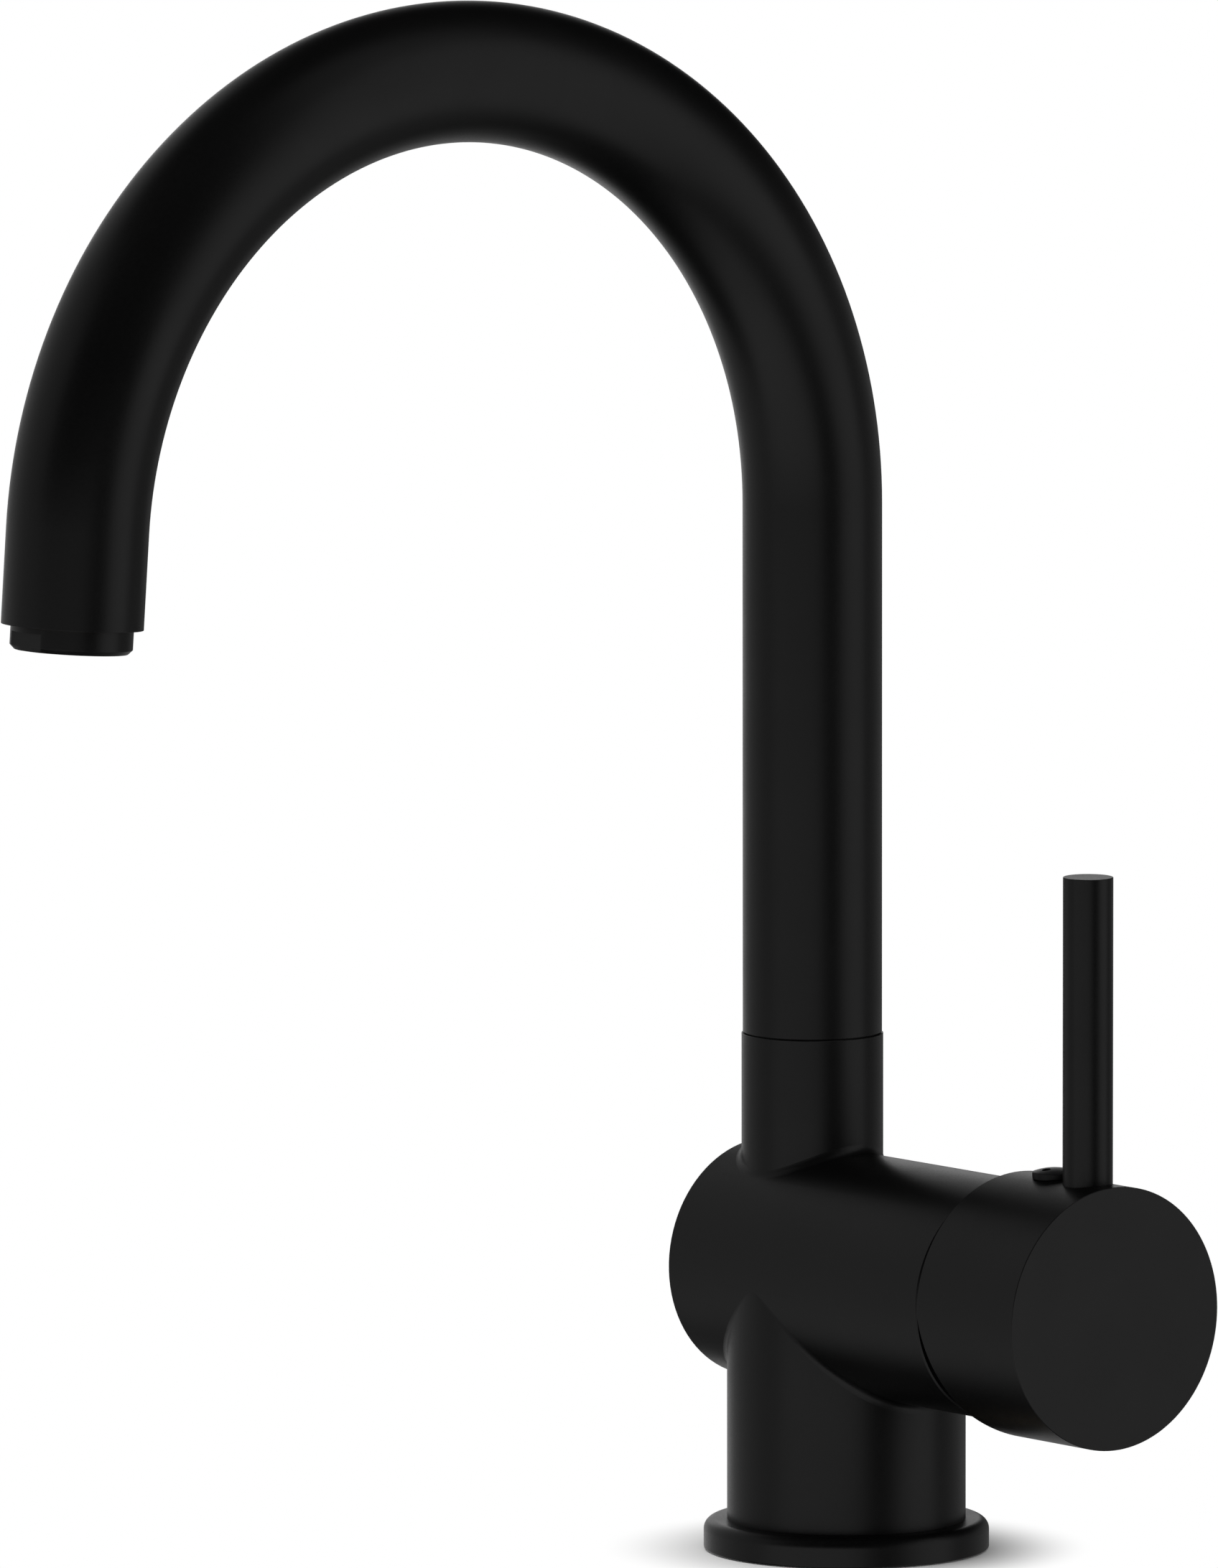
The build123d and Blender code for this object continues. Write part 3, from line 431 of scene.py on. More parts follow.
def tint(tree, mask, low, high):
    """Colour that goes from low to high with a mask. Both are colours or colour sockets."""
    mix = add_node(tree, "ShaderNodeMix", {"Factor": mask}, data_type="RGBA")
    for socket, value in ((mix.inputs[MIX_LOW], low), (mix.inputs[MIX_HIGH], high)):
        if isinstance(value, NodeSocket):
            tree.links.new(value, socket)
        else:
            socket.default_value = (*value, 1)
    return mix.outputs[MIX_RESULT]


def shade(value, factor):
    """A colour made lighter or darker."""
    return [part * factor for part in value]


def surface_point(tree, size):
    """Place on the object, in units of size."""
    place = add_node(tree, "ShaderNodeTexCoord").outputs["Object"]
    inverse = number_math(tree, "DIVIDE", 1.0, size)
    scaled = add_node(tree, "ShaderNodeVectorMath", {0: place, "Scale": inverse}, operation="SCALE")
    return scaled.outputs[0]


def noise(tree, size, **inputs):
    """Noise over the surface, with features of a size."""
    place = surface_point(tree, size)
    return add_node(tree, "ShaderNodeTexNoise", {"Vector": place, "Scale": 1.0, **inputs}).outputs[0]


def new_group(name, inputs, outputs):
    """Empty shader group, with the sockets that its inputs come from and those that its outputs go to."""
    group = bpy.data.node_groups.new(name, "ShaderNodeTree")
    for socket, default in inputs.items():
        kind = "NodeSocketVector" if isinstance(default, tuple) else "NodeSocketFloat"
        made = group.interface.new_socket(socket, in_out="INPUT", socket_type=kind)
        made.default_value = default
    for socket in outputs:
        group.interface.new_socket(socket, in_out="OUTPUT", socket_type="NodeSocketFloat")
    entry = group.nodes.new("NodeGroupInput")
    leave = group.nodes.new("NodeGroupOutput")
    return group, entry.outputs, leave.inputs


def fine_grain(name):
    """Group with the grain of a sprayed or moulded surface, and its slow drift."""
    group, entry, leave = new_group(name, {"Grain Size": 0.0004, "Drift Size": 0.02}, ("Grain", "Drift"))
    grain = noise(group, entry["Grain Size"], Detail=2.0, Roughness=0.6)
    drift = noise(group, entry["Drift Size"], Detail=3.0, Distortion=0.4)
    group.links.new(stretched(group, grain), leave["Grain"])
    group.links.new(stretched(group, drift), leave["Drift"])
    return group


def edge_rub(name):
    """Group with a mask along edges, broken up as handling leaves it."""
    group, entry, leave = new_group(name, {"Width": 0.0004, "Break Size": 0.004}, ("Mask",))
    soft = add_node(group, "ShaderNodeBevel", {"Radius": entry["Width"]}, samples=4).outputs[0]
    plain = add_node(group, "ShaderNodeNewGeometry").outputs["Normal"]
    facing = vector_math(group, "DOT_PRODUCT", soft, plain)["Value"]
    edge = stretched(group, facing, low=0.995, high=0.85)
    breaks = noise(group, entry["Break Size"], Detail=4.0)
    patches = stretched(group, breaks, low=0.35, high=0.65)
    group.links.new(number_math(group, "MULTIPLY", edge, patches), leave["Mask"])
    return group


def turning_marks(name):
    """Group with the fine rings that a lathe leaves round an axis."""
    inputs = {"Centre": (0, 0, 0), "Axis": (0, 0, 1), "Pitch": 0.0002}
    group, entry, leave = new_group(name, inputs, ("Marks",))
    place = add_node(group, "ShaderNodeTexCoord").outputs["Object"]
    offset = vector_math(group, "SUBTRACT", place, entry["Centre"])[0]
    along = vector_math(group, "DOT_PRODUCT", offset, entry["Axis"])["Value"]
    across = vector_math(group, "CROSS_PRODUCT", offset, entry["Axis"])[0]
    radius = vector_math(group, "LENGTH", across)["Value"]
    feed = number_math(group, "ADD", along, radius)
    ring = number_math(group, "DIVIDE", feed, entry["Pitch"])
    inputs = {"W": ring, "Scale": 1.0, "Detail": 2.0}
    rings = add_node(group, "ShaderNodeTexNoise", inputs, noise_dimensions="1D").outputs[0]
    group.links.new(stretched(group, rings), leave["Marks"])
    return group


SURFACE_EFFECTS = {"Fine grain": fine_grain, "Edge rub": edge_rub, "Turning marks": turning_marks}


def effect(tree, name, **values):
    """Place a shader group, made at its first use. Values are named as its inputs, with _ for a space."""
    node = tree.nodes.new("ShaderNodeGroup")
    node.node_tree = bpy.data.node_groups.get(name) or SURFACE_EFFECTS[name](name)
    for socket, value in values.items():
        node.inputs[socket.replace("_", " ")].default_value = value
    return node.outputs


def new_finish(name):
    """Material with a bare Principled shader."""
    material = bpy.data.materials.new(name)
    tree = empty_tree(material)
    surface = add_node(tree, "ShaderNodeBsdfPrincipled")
    add_node(tree, "ShaderNodeOutputMaterial", {"Surface": surface.outputs[0]})
    return material, tree, surface


def feed_surface(tree, surface, base, roughness, relief, depth):
    """Link a finish's colour, roughness and relief to its shader. depth is the relief's, in metres."""
    bump = add_node(tree, "ShaderNodeBump", {"Height": relief, "Distance": depth, "Strength": 1.0})
    tree.links.new(base, surface.inputs["Base Color"])
    tree.links.new(roughness, surface.inputs["Roughness"])
    tree.links.new(bump.outputs[0], surface.inputs["Normal"])


def black_coat(finishes):
    """Matt black coating: a fine sprayed grain, a slow drift in gloss, and edges that hands have rubbed."""
    material, tree, surface = new_finish("Black_coat")
    grain = effect(tree, "Fine grain", Grain_Size=finishes.coat_grain, Drift_Size=0.02)
    rub = effect(tree, "Edge rub", Width=0.0004, Break_Size=0.005)
    sprayed = tint(tree, grain["Grain"], shade(finishes.coat, 0.75), shade(finishes.coat, 1.25))
    rubbed = tint(tree, rub["Mask"], sprayed, finishes.coat_rub)
    drift = spread(tree, grain["Drift"], low=finishes.coat_gloss - 0.03, high=finishes.coat_gloss + 0.03)
    speckle = spread(tree, grain["Grain"], low=-0.04, high=0.04)
    roughness = number_math(tree, "ADD", drift, speckle)
    feed_surface(tree, surface, rubbed, roughness, grain["Grain"], depth=0.000004)
    surface.inputs["Specular IOR Level"].default_value = finishes.coat_shine
    return material


def black_trim(finishes):
    """Moulded black plastic with a spark-eroded grain."""
    material, tree, surface = new_finish("Black_trim")
    grain = effect(tree, "Fine grain", Grain_Size=0.00022, Drift_Size=0.012)
    moulded = tint(tree, grain["Drift"], shade(finishes.trim, 0.7), shade(finishes.trim, 1.3))
    roughness = spread(tree, grain["Grain"], low=0.32, high=0.44)
    feed_surface(tree, surface, moulded, roughness, grain["Grain"], depth=0.000004)
    surface.inputs["Specular IOR Level"].default_value = finishes.trim_shine
    return material


def black_rubber(finishes):
    """Moulded rubber with a pale bloom in patches."""
    material, tree, surface = new_finish("Black_rubber")
    grain = effect(tree, "Fine grain", Grain_Size=0.0005, Drift_Size=0.007)
    patches = thinned(tree, grain["Drift"], power=3.0)
    bloom = tint(tree, patches, finishes.rubber, finishes.rubber_bloom)
    roughness = spread(tree, grain["Grain"], low=0.62, high=0.82)
    feed_surface(tree, surface, bloom, roughness, grain["Grain"], depth=0.00003)
    return material


def cartridge_plastic(finishes):
    """Grey moulded plastic with faint flow lines."""
    material, tree, surface = new_finish("Cartridge_plastic")
    grain = effect(tree, "Fine grain", Grain_Size=0.0003, Drift_Size=0.011)
    flow = tint(tree, grain["Drift"], shade(finishes.plastic, 0.9), shade(finishes.plastic, 1.06))
    roughness = spread(tree, grain["Grain"], low=0.36, high=0.5)
    feed_surface(tree, surface, flow, roughness, grain["Grain"], depth=0.00001)
    return material


def lapped_ceramic(finishes):
    """Dense ceramic, lapped to a gloss, with faint grey specks."""
    material, tree, surface = new_finish("Lapped_ceramic")
    grain = effect(tree, "Fine grain", Grain_Size=0.00025, Drift_Size=0.004)
    specks = thinned(tree, grain["Grain"], power=5.0)
    speckled = tint(tree, specks, finishes.ceramic, shade(finishes.ceramic, 0.8))
    roughness = spread(tree, grain["Drift"], low=0.08, high=0.16)
    feed_surface(tree, surface, speckled, roughness, grain["Grain"], depth=0.000003)
    return material


SHARED_FINISHES = {
    "Black_coat": black_coat,
    "Black_trim": black_trim,
    "Black_rubber": black_rubber,
    "Cartridge_plastic": cartridge_plastic,
    "Lapped_ceramic": lapped_ceramic,
}


def finish(name):
    """One of the finishes that all pieces of its kind share, made at its first use."""
    return bpy.data.materials.get(name) or SHARED_FINISHES[name](bpy.context.scene.faucet_finishes)


def brass_for(node, axis):
    """Brass with a faint tarnish and the rings of the lathe, round an axis through a node."""
    brass = bpy.context.scene.faucet_finishes.brass
    material, tree, surface = new_finish(f"Brass_{node}")
    marks = effect(tree, "Turning marks", Centre=node_box(node).middle, Axis=axis, Pitch=0.00018)
    grain = effect(tree, "Fine grain", Grain_Size=0.0009, Drift_Size=0.009)
    tarnish = tint(tree, grain["Drift"], shade(brass, 0.72), brass)
    roughness = spread(tree, marks["Marks"], low=0.2, high=0.38)
    feed_surface(tree, surface, tarnish, roughness, marks["Marks"], depth=0.00001)
    surface.inputs["Metallic"].default_value = 1.0
    return material


def steel_for(node, axis):
    """Zinc-plated steel: rings round an axis through a node, a cloudy plating and brighter edges."""
    steel = bpy.context.scene.faucet_finishes.steel
    material, tree, surface = new_finish(f"Steel_{node}")
    marks = effect(tree, "Turning marks", Centre=node_box(node).middle, Axis=axis, Pitch=0.00025)
    grain = effect(tree, "Fine grain", Grain_Size=0.0006, Drift_Size=0.006)
    rub = effect(tree, "Edge rub", Width=0.0003, Break_Size=0.003)
    cloudy = tint(tree, grain["Drift"], shade(steel, 0.7), steel)
    plated = tint(tree, rub["Mask"], cloudy, shade(steel, 1.25))
    roughness = spread(tree, grain["Grain"], low=0.24, high=0.42)
    feed_surface(tree, surface, plated, roughness, marks["Marks"], depth=0.000008)
    surface.inputs["Metallic"].default_value = 1.0
    return material


# Pieces


class FAUCET_OT_castings(Operator):
    """Coat the body casting and the knob"""

    bl_idname = "faucet.castings"
    bl_label = "Body and Knob"

    def execute(self, context):
        dress(finish("Black_coat"), "body_casting", "handle_knob")
        return {"FINISHED"}


class FAUCET_OT_foot(Operator):
    """Turn the foot with its rounded top edge and the groove for its seal"""

    bl_idname = "faucet.foot"
    bl_label = "Foot"

    def execute(self, context):
        sizes = context.scene.faucet_sizes
        box = node_box("base_ring")
        outer = box.size.x / 2
        bore = outer - sizes.foot_wall
        bottom, top = box.low.z, box.high.z
        outside = node_box("base_seal").size.x / 2
        inside = outside - sizes.seal_groove
        roof = bottom + sizes.seal_groove_depth
        edge = sizes.foot_edge
        profile = rounded((
            (bore, bottom, edge / 2),
            (inside, bottom, 0),
            (inside, roof, 0),
            (outside, roof, 0),
            (outside, bottom, 0),
            (outer, bottom, edge),
            (outer, top, sizes.foot_rounding),
            (bore, top, edge / 2),
        ), steps=10)
        foot = turned(profile, straight_axis((0, 0, 0)), segments=192)
        add_piece("Foot", foot, "root", "black_finish", finish("Black_coat"), "base_ring")
        dress(finish("Black_rubber"), "base_seal")
        return {"FINISHED"}


SpoutCourse = namedtuple("SpoutCourse", "bend_start bend_end end frame_at")


def spout_course(sizes):
    """Centre line of the spout: the ways to its bend and its end, and the frame at any way along it."""
    box = node_box("spout_tube")
    rise = box.high.z - box.size.x / 2 - sizes.bend_radius - box.low.z
    bend_end = rise + sizes.bend_radius * sizes.bend_angle

    def frame_at(way):
        turn = min(max(way - rise, 0) / sizes.bend_radius, sizes.bend_angle)
        straight = min(way, rise)
        outlet = max(way - bend_end, 0)
        forward = sizes.bend_radius * (1 - cos(turn)) + outlet * sin(turn)
        upward = straight + sizes.bend_radius * sin(turn) + outlet * cos(turn)
        origin = (box.middle.x, -forward, box.low.z + upward)
        return straight_axis(origin, (0, -sin(turn), cos(turn)))(0)

    return SpoutCourse(rise, bend_end, bend_end + sizes.outlet_length, frame_at)


class FAUCET_OT_spout(Operator):
    """Bend the spout's tube and finish what joins it to the socket"""

    bl_idname = "faucet.spout"
    bl_label = "Spout"

    rise_rings = 12
    bend_rings = 120
    outlet_rings = 3

    def execute(self, context):
        sizes = context.scene.faucet_sizes
        outer = node_box("spout_tube").size.x / 2
        bore = outer - sizes.tube_wall
        course = spout_course(sizes)
        lip = sizes.tube_lip
        ends = ((bore, 0, lip), (outer, 0, lip), (outer, course.end, lip), (bore, course.end, lip))
        stops = steps_between(0, course.bend_start, self.rise_rings)
        stops += steps_between(course.bend_start, course.bend_end, self.bend_rings)[1:]
        stops += steps_between(course.bend_end, course.end, self.outlet_rings)[1:]
        tube = turned(divided(rounded(ends), stops), course.frame_at, segments=96)
        add_piece("Spout_tube", tube, "spout", "black_finish", finish("Black_coat"), "spout_tube")
        dress(finish("Black_trim"), "upper_slide_ring", "lower_slide_ring")
        dress(finish("Black_rubber"), "spout_o_rings")
        dress(brass_for("spout_tail", UP), "spout_tail")
        return {"FINISHED"}


class FAUCET_OT_aerator(Operator):
    """Turn the aerator's collar with its thread and wrench flats, and finish what it holds"""

    bl_idname = "faucet.aerator"
    bl_label = "Aerator"

    def execute(self, context):
        sizes = context.scene.faucet_sizes
        course = spout_course(sizes)
        outlet = course.frame_at(course.end)
        collar = node_box("aerator_housing").size.x / 2
        thread = collar - sizes.collar_step
        bore = thread - sizes.collar_wall
        lip = bore - sizes.collar_lip
        flat = collar - sizes.flat_depth
        top = -sizes.collar_thread
        rim = sizes.collar_length
        seat = rim - sizes.collar_lip_height
        shoulder = rim - sizes.flat_length
        edge = sizes.collar_edge
        corners = (
            (bore, top, 0),
            (thread, top, 0),
            (thread, 0, 0),
            (collar, 0, 0),
            (collar, shoulder, 0),
            (collar, shoulder + sizes.flat_step, 0),
            (collar, rim - sizes.collar_chamfer, edge),
            (collar - sizes.collar_chamfer, rim, edge),
            (lip, rim, edge),
            (lip, seat, 0),
            (bore, seat, 0),
        )
        rows = thread_rows(top, 0, sizes.collar_thread, sizes.fine_pitch)
        thread_shape = threaded(thread, sizes.fine_pitch, sizes.fine_depth)

        def shape(radius, height, turn):
            if height < 0:
                return thread_shape(radius, height, turn)
            if height <= shoulder or radius * abs(sin(turn)) <= flat:
                return radius
            return flat / abs(sin(turn))

        def axis(height):
            return outlet @ Matrix.Translation((0, 0, height))

        mesh = turned(divided(rounded(corners), rows), axis, segments=240, shape=shape)
        add_piece("Aerator_collar", mesh, "spout", "black_finish", finish("Black_coat"), "aerator_housing")
        along = outlet.to_3x3() @ UP
        dress(finish("Cartridge_plastic"), "aerator_insert")
        dress(steel_for("aerator_screen", along), "aerator_screen")
        dress(finish("Black_rubber"), "aerator_washer")
        dress(brass_for("outlet_bush", along), "outlet_bush")
        return {"FINISHED"}


class FAUCET_OT_lever(Operator):
    """Turn the lever rod with its rounded top edge"""

    bl_idname = "faucet.lever"
    bl_label = "Lever Rod"

    rod_rings = 12

    def execute(self, context):
        sizes = context.scene.faucet_sizes
        box = node_box("lever_rod")
        radius = box.size.x / 2
        bottom, top = box.low.z, box.high.z
        corners = (
            (0, bottom, 0),
            (radius, bottom, sizes.lever_edge / 2),
            (radius, top, sizes.lever_edge),
            (0, top, 0),
        )
        profile = divided(rounded(corners, steps=8), steps_between(bottom, top, self.rod_rings))
        rod = turned(profile, upright_axis(box.middle), segments=128)
        add_piece("Lever_rod", rod, "handle", "black_finish", finish("Black_coat"), "lever_rod")
        return {"FINISHED"}


class FAUCET_OT_index_button(Operator):
    """Turn the domed index button and drill its two dimples"""

    bl_idname = "faucet.index_button"
    bl_label = "Index Button"

    dome_rings = 24

    def execute(self, context):
        sizes = context.scene.faucet_sizes
        box = node_box("index_button")
        knob = node_box("handle_knob")
        radius = box.size.x / 2
        edge = sizes.button_edge
        underside = knob.high.z + sizes.button_lift
        rim = underside + sizes.button_skirt
        top = rim + sizes.button_dome

        # The last corner lies on the dome's slope at the rim, and only steers the rounding there.
        corners = (
            (0, box.low.z, 0),
            (sizes.button_stem, box.low.z, edge),
            (sizes.button_stem, underside, 0),
            (radius, underside, edge),
            (radius, rim, edge),
            (0, rim + 2 * sizes.button_dome, 0),
        )
        outline = rounded(corners)[:-1]
        brim, start = outline[-1]
        rings = steps_between(brim, 0, self.dome_rings)[1:]
        dome = [(ring, start + (top - start) * (1 - (ring / brim) ** 2)) for ring in rings]
        button = turned(outline + dome, upright_axis(box.middle), segments=128)

        # The underside follows the knob's round.
        knob_radius = knob.size.y / 2
        for vert in button.verts:
            if -SAME_PLACE < vert.co.z - underside < edge + SAME_PLACE:
                vert.co.z -= knob_radius - sqrt(knob_radius ** 2 - (vert.co.y - box.middle.y) ** 2)

        # At the dimples the dome has dropped by about a quarter of its height.
        dimple_floor = top - sizes.button_dome / 4 - sizes.dimple_depth
        dimple_mouth = top + sizes.button_dome
        dimple = rounded((
            (0, dimple_floor, 0),
            (sizes.dimple_radius, dimple_floor, edge),
            (sizes.dimple_radius, dimple_mouth, 0),
            (0, dimple_mouth, 0),
        ))
        offsets = (-sizes.dimple_offset * BACK, sizes.dimple_offset * BACK)
        drills = [turned(dimple, upright_axis(box.middle + offset), segments=48) for offset in offsets]
        for solid in (button, *drills):
            bmesh.ops.recalc_face_normals(solid, faces=solid.faces)
        button = drilled(button, drills)
        add_piece("Index_button", button, "handle", "black_trim", finish("Black_trim"), "index_button")
        return {"FINISHED"}


def cut_screw(sizes, name, node, body, along):
    """Cut a small screw with a thread and a key socket."""
    box = node_box(node)
    radius = box.size.x / 2
    half = box.size.dot(along) / 2
    key = sizes.screw_key / 2
    socket = half - sizes.screw_key_depth
    chamfer = sizes.screw_pitch / 2
    corners = [
        (0, -half), (radius - chamfer, -half), (radius, chamfer - half), (radius, half - chamfer),
        (radius - chamfer, half), (key, half), (key, socket), (0, socket),
    ]
    thread_shape = threaded(radius, sizes.screw_pitch, sizes.screw_depth)

    def shape(reach, height, turn):
        if reach == key:
            return hexagon_radius(turn, key)
        return thread_shape(reach, height, turn)

    rows = thread_rows(chamfer - half, half - chamfer, 2 * half, sizes.screw_pitch)
    screw = turned(divided(corners, rows), straight_axis(box.middle, along), segments=72, shape=shape)
    add_piece(name, screw, body, "steel", steel_for(node, along), node)


class FAUCET_OT_screws(Operator):
    """Cut the grub screw and the spout's stop screw"""

    bl_idname = "faucet.screws"
    bl_label = "Small Screws"

    def execute(self, context):
        sizes = context.scene.faucet_sizes
        cut_screw(sizes, "Grub_screw", "grub_screw", "handle", UP)
        cut_screw(sizes, "Stop_screw", "spout_stop_screw", "root", BACK)
        return {"FINISHED"}


def cut_stud(sizes, steel):
    """Cut the clamp's stud with its thread."""
    box = node_box("fixing_stud")
    radius = box.size.x / 2
    bottom, top = box.low.z, box.high.z
    chamfer = sizes.stud_pitch / 2
    corners = [
        (0, bottom), (radius - chamfer, bottom), (radius, bottom + chamfer),
        (radius, top - chamfer), (radius - chamfer, top), (0, top),
    ]
    rows = thread_rows(bottom + chamfer, top - chamfer, box.size.z, sizes.stud_pitch)
    shape = threaded(radius, sizes.stud_pitch, sizes.stud_depth)
    stud = turned(divided(corners, rows), upright_axis(box.middle), segments=48, shape=shape)
    add_piece("Fixing_stud", stud, "root", "steel", steel, "fixing_stud")


def cut_nut(sizes):
    """Cut the hexagon nut on the stud, with a cone at each end."""
    cone_rings = 10
    stud = node_box("fixing_stud")
    box = node_box("clamp_nut")
    flat = min(box.size.x, box.size.y) / 2
    corner = max(box.size.x, box.size.y) / 2
    first_corner = 0 if box.size.x > box.size.y else pi / 2
    bore = stud.size.x / 2 + sizes.nut_play
    face = flat * sizes.nut_face
    bottom, top = box.low.z, box.high.z
    low_cone = zip(
        steps_between(face, corner, cone_rings), steps_between(bottom, bottom + sizes.nut_chamfer, cone_rings)
    )
    high_cone = zip(
        steps_between(corner, face, cone_rings), steps_between(top - sizes.nut_chamfer, top, cone_rings)
    )

    def shape(reach, height, turn):
        return min(reach, hexagon_radius(turn - first_corner, flat))

    profile = [(bore, bottom), *low_cone, *high_cone, (bore, top)]
    nut = turned(profile, upright_axis(stud.middle), segments=144, shape=shape)
    add_piece("Clamp_nut", nut, "root", "brass", brass_for("clamp_nut", UP), "clamp_nut")


class FAUCET_OT_clamp(Operator):
    """Cut the threaded stud and its hexagon nut, and finish the plates of the clamp"""

    bl_idname = "faucet.clamp"
    bl_label = "Deck Clamp"

    def execute(self, context):
        sizes = context.scene.faucet_sizes
        steel = steel_for("fixing_stud", UP)
        cut_stud(sizes, steel)
        cut_nut(sizes)
        dress(steel, "clamp_washer")
        dress(finish("Black_rubber"), "clamp_gasket")
        return {"FINISHED"}


class FAUCET_OT_cartridge(Operator):
    """Finish the cartridge, its ring nut, the spindle and the trim ring"""

    bl_idname = "faucet.cartridge"
    bl_label = "Cartridge"

    def execute(self, context):
        dress(
            finish("Cartridge_plastic"),
            "cartridge_base", "cartridge_housing", "cartridge_rotor", "disc_carrier",
        )
        dress(finish("Lapped_ceramic"), "fixed_disc", "moving_disc")
        dress(finish("Black_rubber"), "cartridge_seals", "rotor_o_ring")
        dress(finish("Black_trim"), "trim_ring")
        dress(brass_for("cartridge_nut", SIDE), "cartridge_nut")
        dress(brass_for("spindle", SIDE), "spindle")
        dress(steel_for("lever_pin", BACK), "lever_pin")
        return {"FINISHED"}


# Studio


def towards(side, rise):
    """Direction from the faucet to a point round it: side from the front, rise above the horizon."""
    return Vector((sin(side) * cos(rise), -cos(side) * cos(rise), sin(rise)))


def background_rays(tree):
    """1 for the rays that show the background itself: seen directly, mirrored or through glass."""
    rays = add_node(tree, "ShaderNodeLightPath").outputs
    seen = number_math(tree, "MAXIMUM", rays["Is Camera Ray"], rays["Is Glossy Ray"])
    return number_math(tree, "MAXIMUM", seen, rays["Is Transmission Ray"])


def white_room(studio):
    """World that shows as white and lights the object evenly."""
    world = bpy.data.worlds.new("White_room")
    tree = empty_tree(world)
    level = spread(tree, background_rays(tree), low=studio.sky_level, high=1.0)
    room = add_node(tree, "ShaderNodeBackground", {"Color": (1, 1, 1, 1), "Strength": level})
    add_node(tree, "ShaderNodeOutputWorld", {"Surface": room.outputs[0]})
    world.cycles.sampling_method = "NONE"
    bpy.context.scene.world = world


def counter_finish(studio):
    """Pale matt top near the faucet, which fades into the white room away from it."""
    material = bpy.data.materials.new("Counter_top")
    tree = empty_tree(material)
    place = add_node(tree, "ShaderNodeTexCoord").outputs["Object"]
    reach = vector_math(tree, "LENGTH", place)["Value"]
    fade = stretched(
        tree, reach, low=studio.floor_near, high=studio.floor_far, interpolation_type="SMOOTHSTEP"
    )
    white = number_math(tree, "MULTIPLY", fade, background_rays(tree))
    top = add_node(tree, "ShaderNodeBsdfDiffuse", {"Color": (*studio.floor, 1)})
    glow = add_node(tree, "ShaderNodeEmission", {"Color": (1, 1, 1, 1), "Strength": 1.0})
    mix = add_node(tree, "ShaderNodeMixShader", {0: white, 1: top.outputs[0], 2: glow.outputs[0]})
    add_node(tree, "ShaderNodeOutputMaterial", {"Surface": mix.outputs[0]})
    return material


def counter_top(studio):
    """Floor that keeps the faucet's shadow."""
    mesh = bmesh.new()
    bmesh.ops.create_circle(mesh, cap_ends=True, segments=96, radius=studio.floor_radius)
    floor = loose_object("Counter_top", mesh)
    floor.data.materials.append(counter_finish(studio))
    floor.location.z = -studio.floor_drop
    floor.visible_glossy = False


# Windows of the dark tent round the faucet, which its gloss mirrors. left and right are degrees to the right
# of the camera, bottom and top are degrees above the horizon, and bright is how bright the window looks.
TentWindow = namedtuple("TentWindow", "left right bottom top bright")
TENT_WINDOWS = (
    TentWindow(52, 96, -64, 52, 1.02),       # tall window on the right
    TentWindow(42, 108, 52, 84, 0.52),       # its upper end, on the roof
    TentWindow(106, 160, -74, 12, 0.25),     # dim wall further right
    TentWindow(-71, 20, -71, 0, 1.08),       # wide low window in front
    TentWindow(-160, -62, -37, 46, 0.46),    # pale wall on the left
    TentWindow(-182, -150, -26, 28, 0.58),   # paler wall behind it
    TentWindow(-182, -150, -20, 3, 0.85),    # bright strip on that wall
    TentWindow(158, 180, -30, 14, 0.14),     # dim cloth opposite the camera
    TentWindow(171, 200, 3, 16, 1.40),       # bright strip over it
    TentWindow(168, 200, 14, 26, 0.40),      # fading end of the strip
    TentWindow(162, 183, -42, -13, 0.50),    # low glow opposite the camera
    TentWindow(183, 197, -34, -13, 1.10),    # its brighter end
)
TENT_BORDER = 5     # degrees over which a window fades into the cloth
TENT_STEP = 3       # degrees between the points of the tent
TENT_CLOTH = 0.008  # how bright the dark cloth looks
TENT_REACH = 1.5    # metres from the faucet's middle to the tent


def window_share(value, low, high):
    """How far a direction lies inside a window's limits, with soft borders."""
    off_middle = abs((value - (low + high) / 2 + 180) % 360 - 180)
    inside = (high - low) / 2 - off_middle
    return min(max(inside / TENT_BORDER + 0.5, 0), 1)


def tent_level(side, rise):
    """How bright the tent looks in a direction, in degrees from the camera and above the horizon."""
    level = TENT_CLOTH
    for window in TENT_WINDOWS:
        across = window_share(side, window.left, window.right)
        upward = window_share(rise, window.bottom, window.top)
        level = max(level, window.bright * across * upward)
    return level


def tent_finish():
    """Cloth that looks as bright as the level of its points."""
    material = bpy.data.materials.new("Light_tent")
    tree = empty_tree(material)
    level = add_node(tree, "ShaderNodeAttribute", attribute_name="level").outputs["Fac"]
    cloth = add_node(tree, "ShaderNodeEmission", {"Strength": level})
    add_node(tree, "ShaderNodeOutputMaterial", {"Surface": cloth.outputs[0]})
    return material


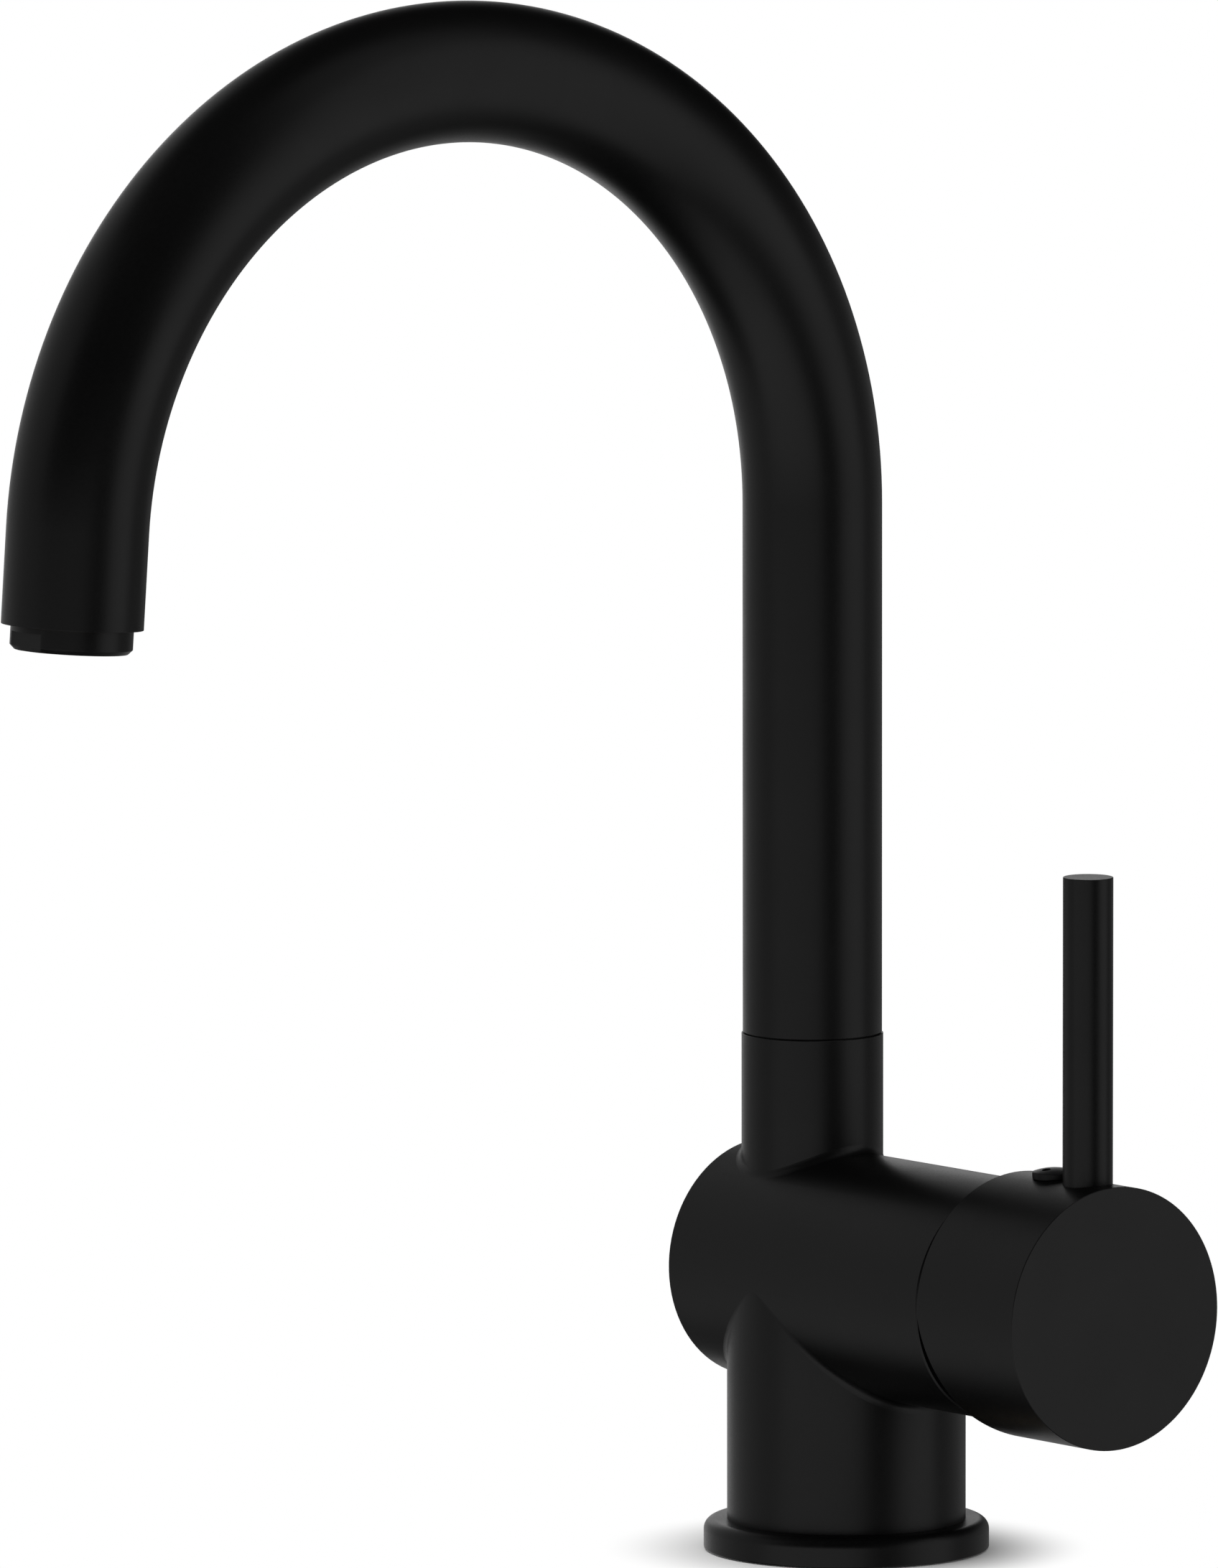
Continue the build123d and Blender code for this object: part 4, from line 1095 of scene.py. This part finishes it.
def light_tent(camera_side, middle):
    """Dark tent with soft windows that only the gloss of the faucet sees."""
    mesh = bmesh.new()
    brightness = mesh.verts.layers.float.new("level")
    grid = []
    for rise in range(-90, 91, TENT_STEP):
        row = []
        for side in range(-180, 180, TENT_STEP):
            direction = towards(camera_side + radians(side), radians(rise))
            vert = mesh.verts.new(middle + TENT_REACH * direction)
            vert[brightness] = tent_level(side, rise)
            row.append(vert)
        grid.append(row)
    for row, above in zip(grid, grid[1:]):
        for column in range(-1, len(row) - 1):
            mesh.faces.new((row[column], row[column + 1], above[column + 1], above[column]))
    tent = loose_object("Light_tent", mesh)
    tent.data.materials.append(tent_finish())
    tent.visible_camera = False
    tent.visible_diffuse = False
    tent.visible_transmission = False
    tent.visible_volume_scatter = False
    tent.visible_shadow = False


def overhead_lamp(studio, middle):
    """Soft round lamp over the faucet, which its gloss doesn't mirror."""
    lamp = bpy.data.lights.new("Overhead_lamp", "AREA")
    lamp.shape = "DISK"
    lamp.size = studio.lamp_size
    lamp.energy = studio.lamp_power
    overhead = bpy.data.objects.new("Overhead_lamp", lamp)
    outward = towards(studio.camera_side + studio.lamp_side, studio.lamp_rise)
    overhead.location = middle + studio.lamp_distance * outward
    overhead.rotation_euler = (-outward).to_track_quat("-Z", "Y").to_euler()
    overhead.visible_glossy = False
    overhead.visible_camera = False
    bpy.context.scene.collection.objects.link(overhead)


def studio_camera(studio):
    """Camera at the viewing angle of a product picture."""
    lens = bpy.data.cameras.new("Camera")
    lens.lens = studio.camera_lens
    camera = bpy.data.objects.new("Camera", lens)
    outward = towards(studio.camera_side, studio.camera_rise)
    roll = Quaternion(UP, studio.camera_roll)
    camera.location = Vector(studio.camera_aim) + studio.camera_distance * outward
    camera.rotation_euler = ((-outward).to_track_quat("-Z", "Y") @ roll).to_euler()
    bpy.context.scene.collection.objects.link(camera)
    bpy.context.scene.camera = camera


class FAUCET_OT_studio(Operator):
    """Set up the white room, the counter top, the tent, the lamp and the camera"""

    bl_idname = "faucet.studio"
    bl_label = "Studio"

    def execute(self, context):
        studio = context.scene.faucet_studio
        context.scene.view_settings.view_transform = "Standard"
        middle = (Vector(CAD_BOX[0]) + Vector(CAD_BOX[1])) / 2
        white_room(studio)
        counter_top(studio)
        light_tent(studio.camera_side, middle)
        overhead_lamp(studio, middle)
        studio_camera(studio)
        return {"FINISHED"}


OPERATORS = (
    FAUCET_OT_castings,
    FAUCET_OT_foot,
    FAUCET_OT_spout,
    FAUCET_OT_aerator,
    FAUCET_OT_lever,
    FAUCET_OT_index_button,
    FAUCET_OT_screws,
    FAUCET_OT_clamp,
    FAUCET_OT_cartridge,
    FAUCET_OT_studio,
)


class FAUCET_PT_pieces(Panel):
    """Pieces of the faucet, in the order they are made"""

    bl_idname = "FAUCET_PT_pieces"
    bl_label = "Faucet"
    bl_space_type = "VIEW_3D"
    bl_region_type = "UI"
    bl_category = "Faucet"

    def draw(self, context):
        for operator in OPERATORS:
            self.layout.operator(operator.bl_idname)


CLASSES = (FaucetSizes, FaucetFinishes, FaucetStudio, *OPERATORS, FAUCET_PT_pieces)


def register():
    """Register the classes and give the scene its settings."""
    for added in CLASSES:
        bpy.utils.register_class(added)
    bpy.types.Scene.faucet_sizes = PointerProperty(type=FaucetSizes)
    bpy.types.Scene.faucet_finishes = PointerProperty(type=FaucetFinishes)
    bpy.types.Scene.faucet_studio = PointerProperty(type=FaucetStudio)


def unregister():
    """Take the settings from the scene and unregister the classes."""
    del bpy.types.Scene.faucet_studio
    del bpy.types.Scene.faucet_finishes
    del bpy.types.Scene.faucet_sizes
    for added in reversed(CLASSES):
        bpy.utils.unregister_class(added)


def main():
    """Make every piece and the studio."""
    register()
    bpy.ops.faucet.castings()
    bpy.ops.faucet.foot()
    bpy.ops.faucet.spout()
    bpy.ops.faucet.aerator()
    bpy.ops.faucet.lever()
    bpy.ops.faucet.index_button()
    bpy.ops.faucet.screws()
    bpy.ops.faucet.clamp()
    bpy.ops.faucet.cartridge()
    bpy.ops.faucet.studio()


if __name__ == "__main__":
    main()
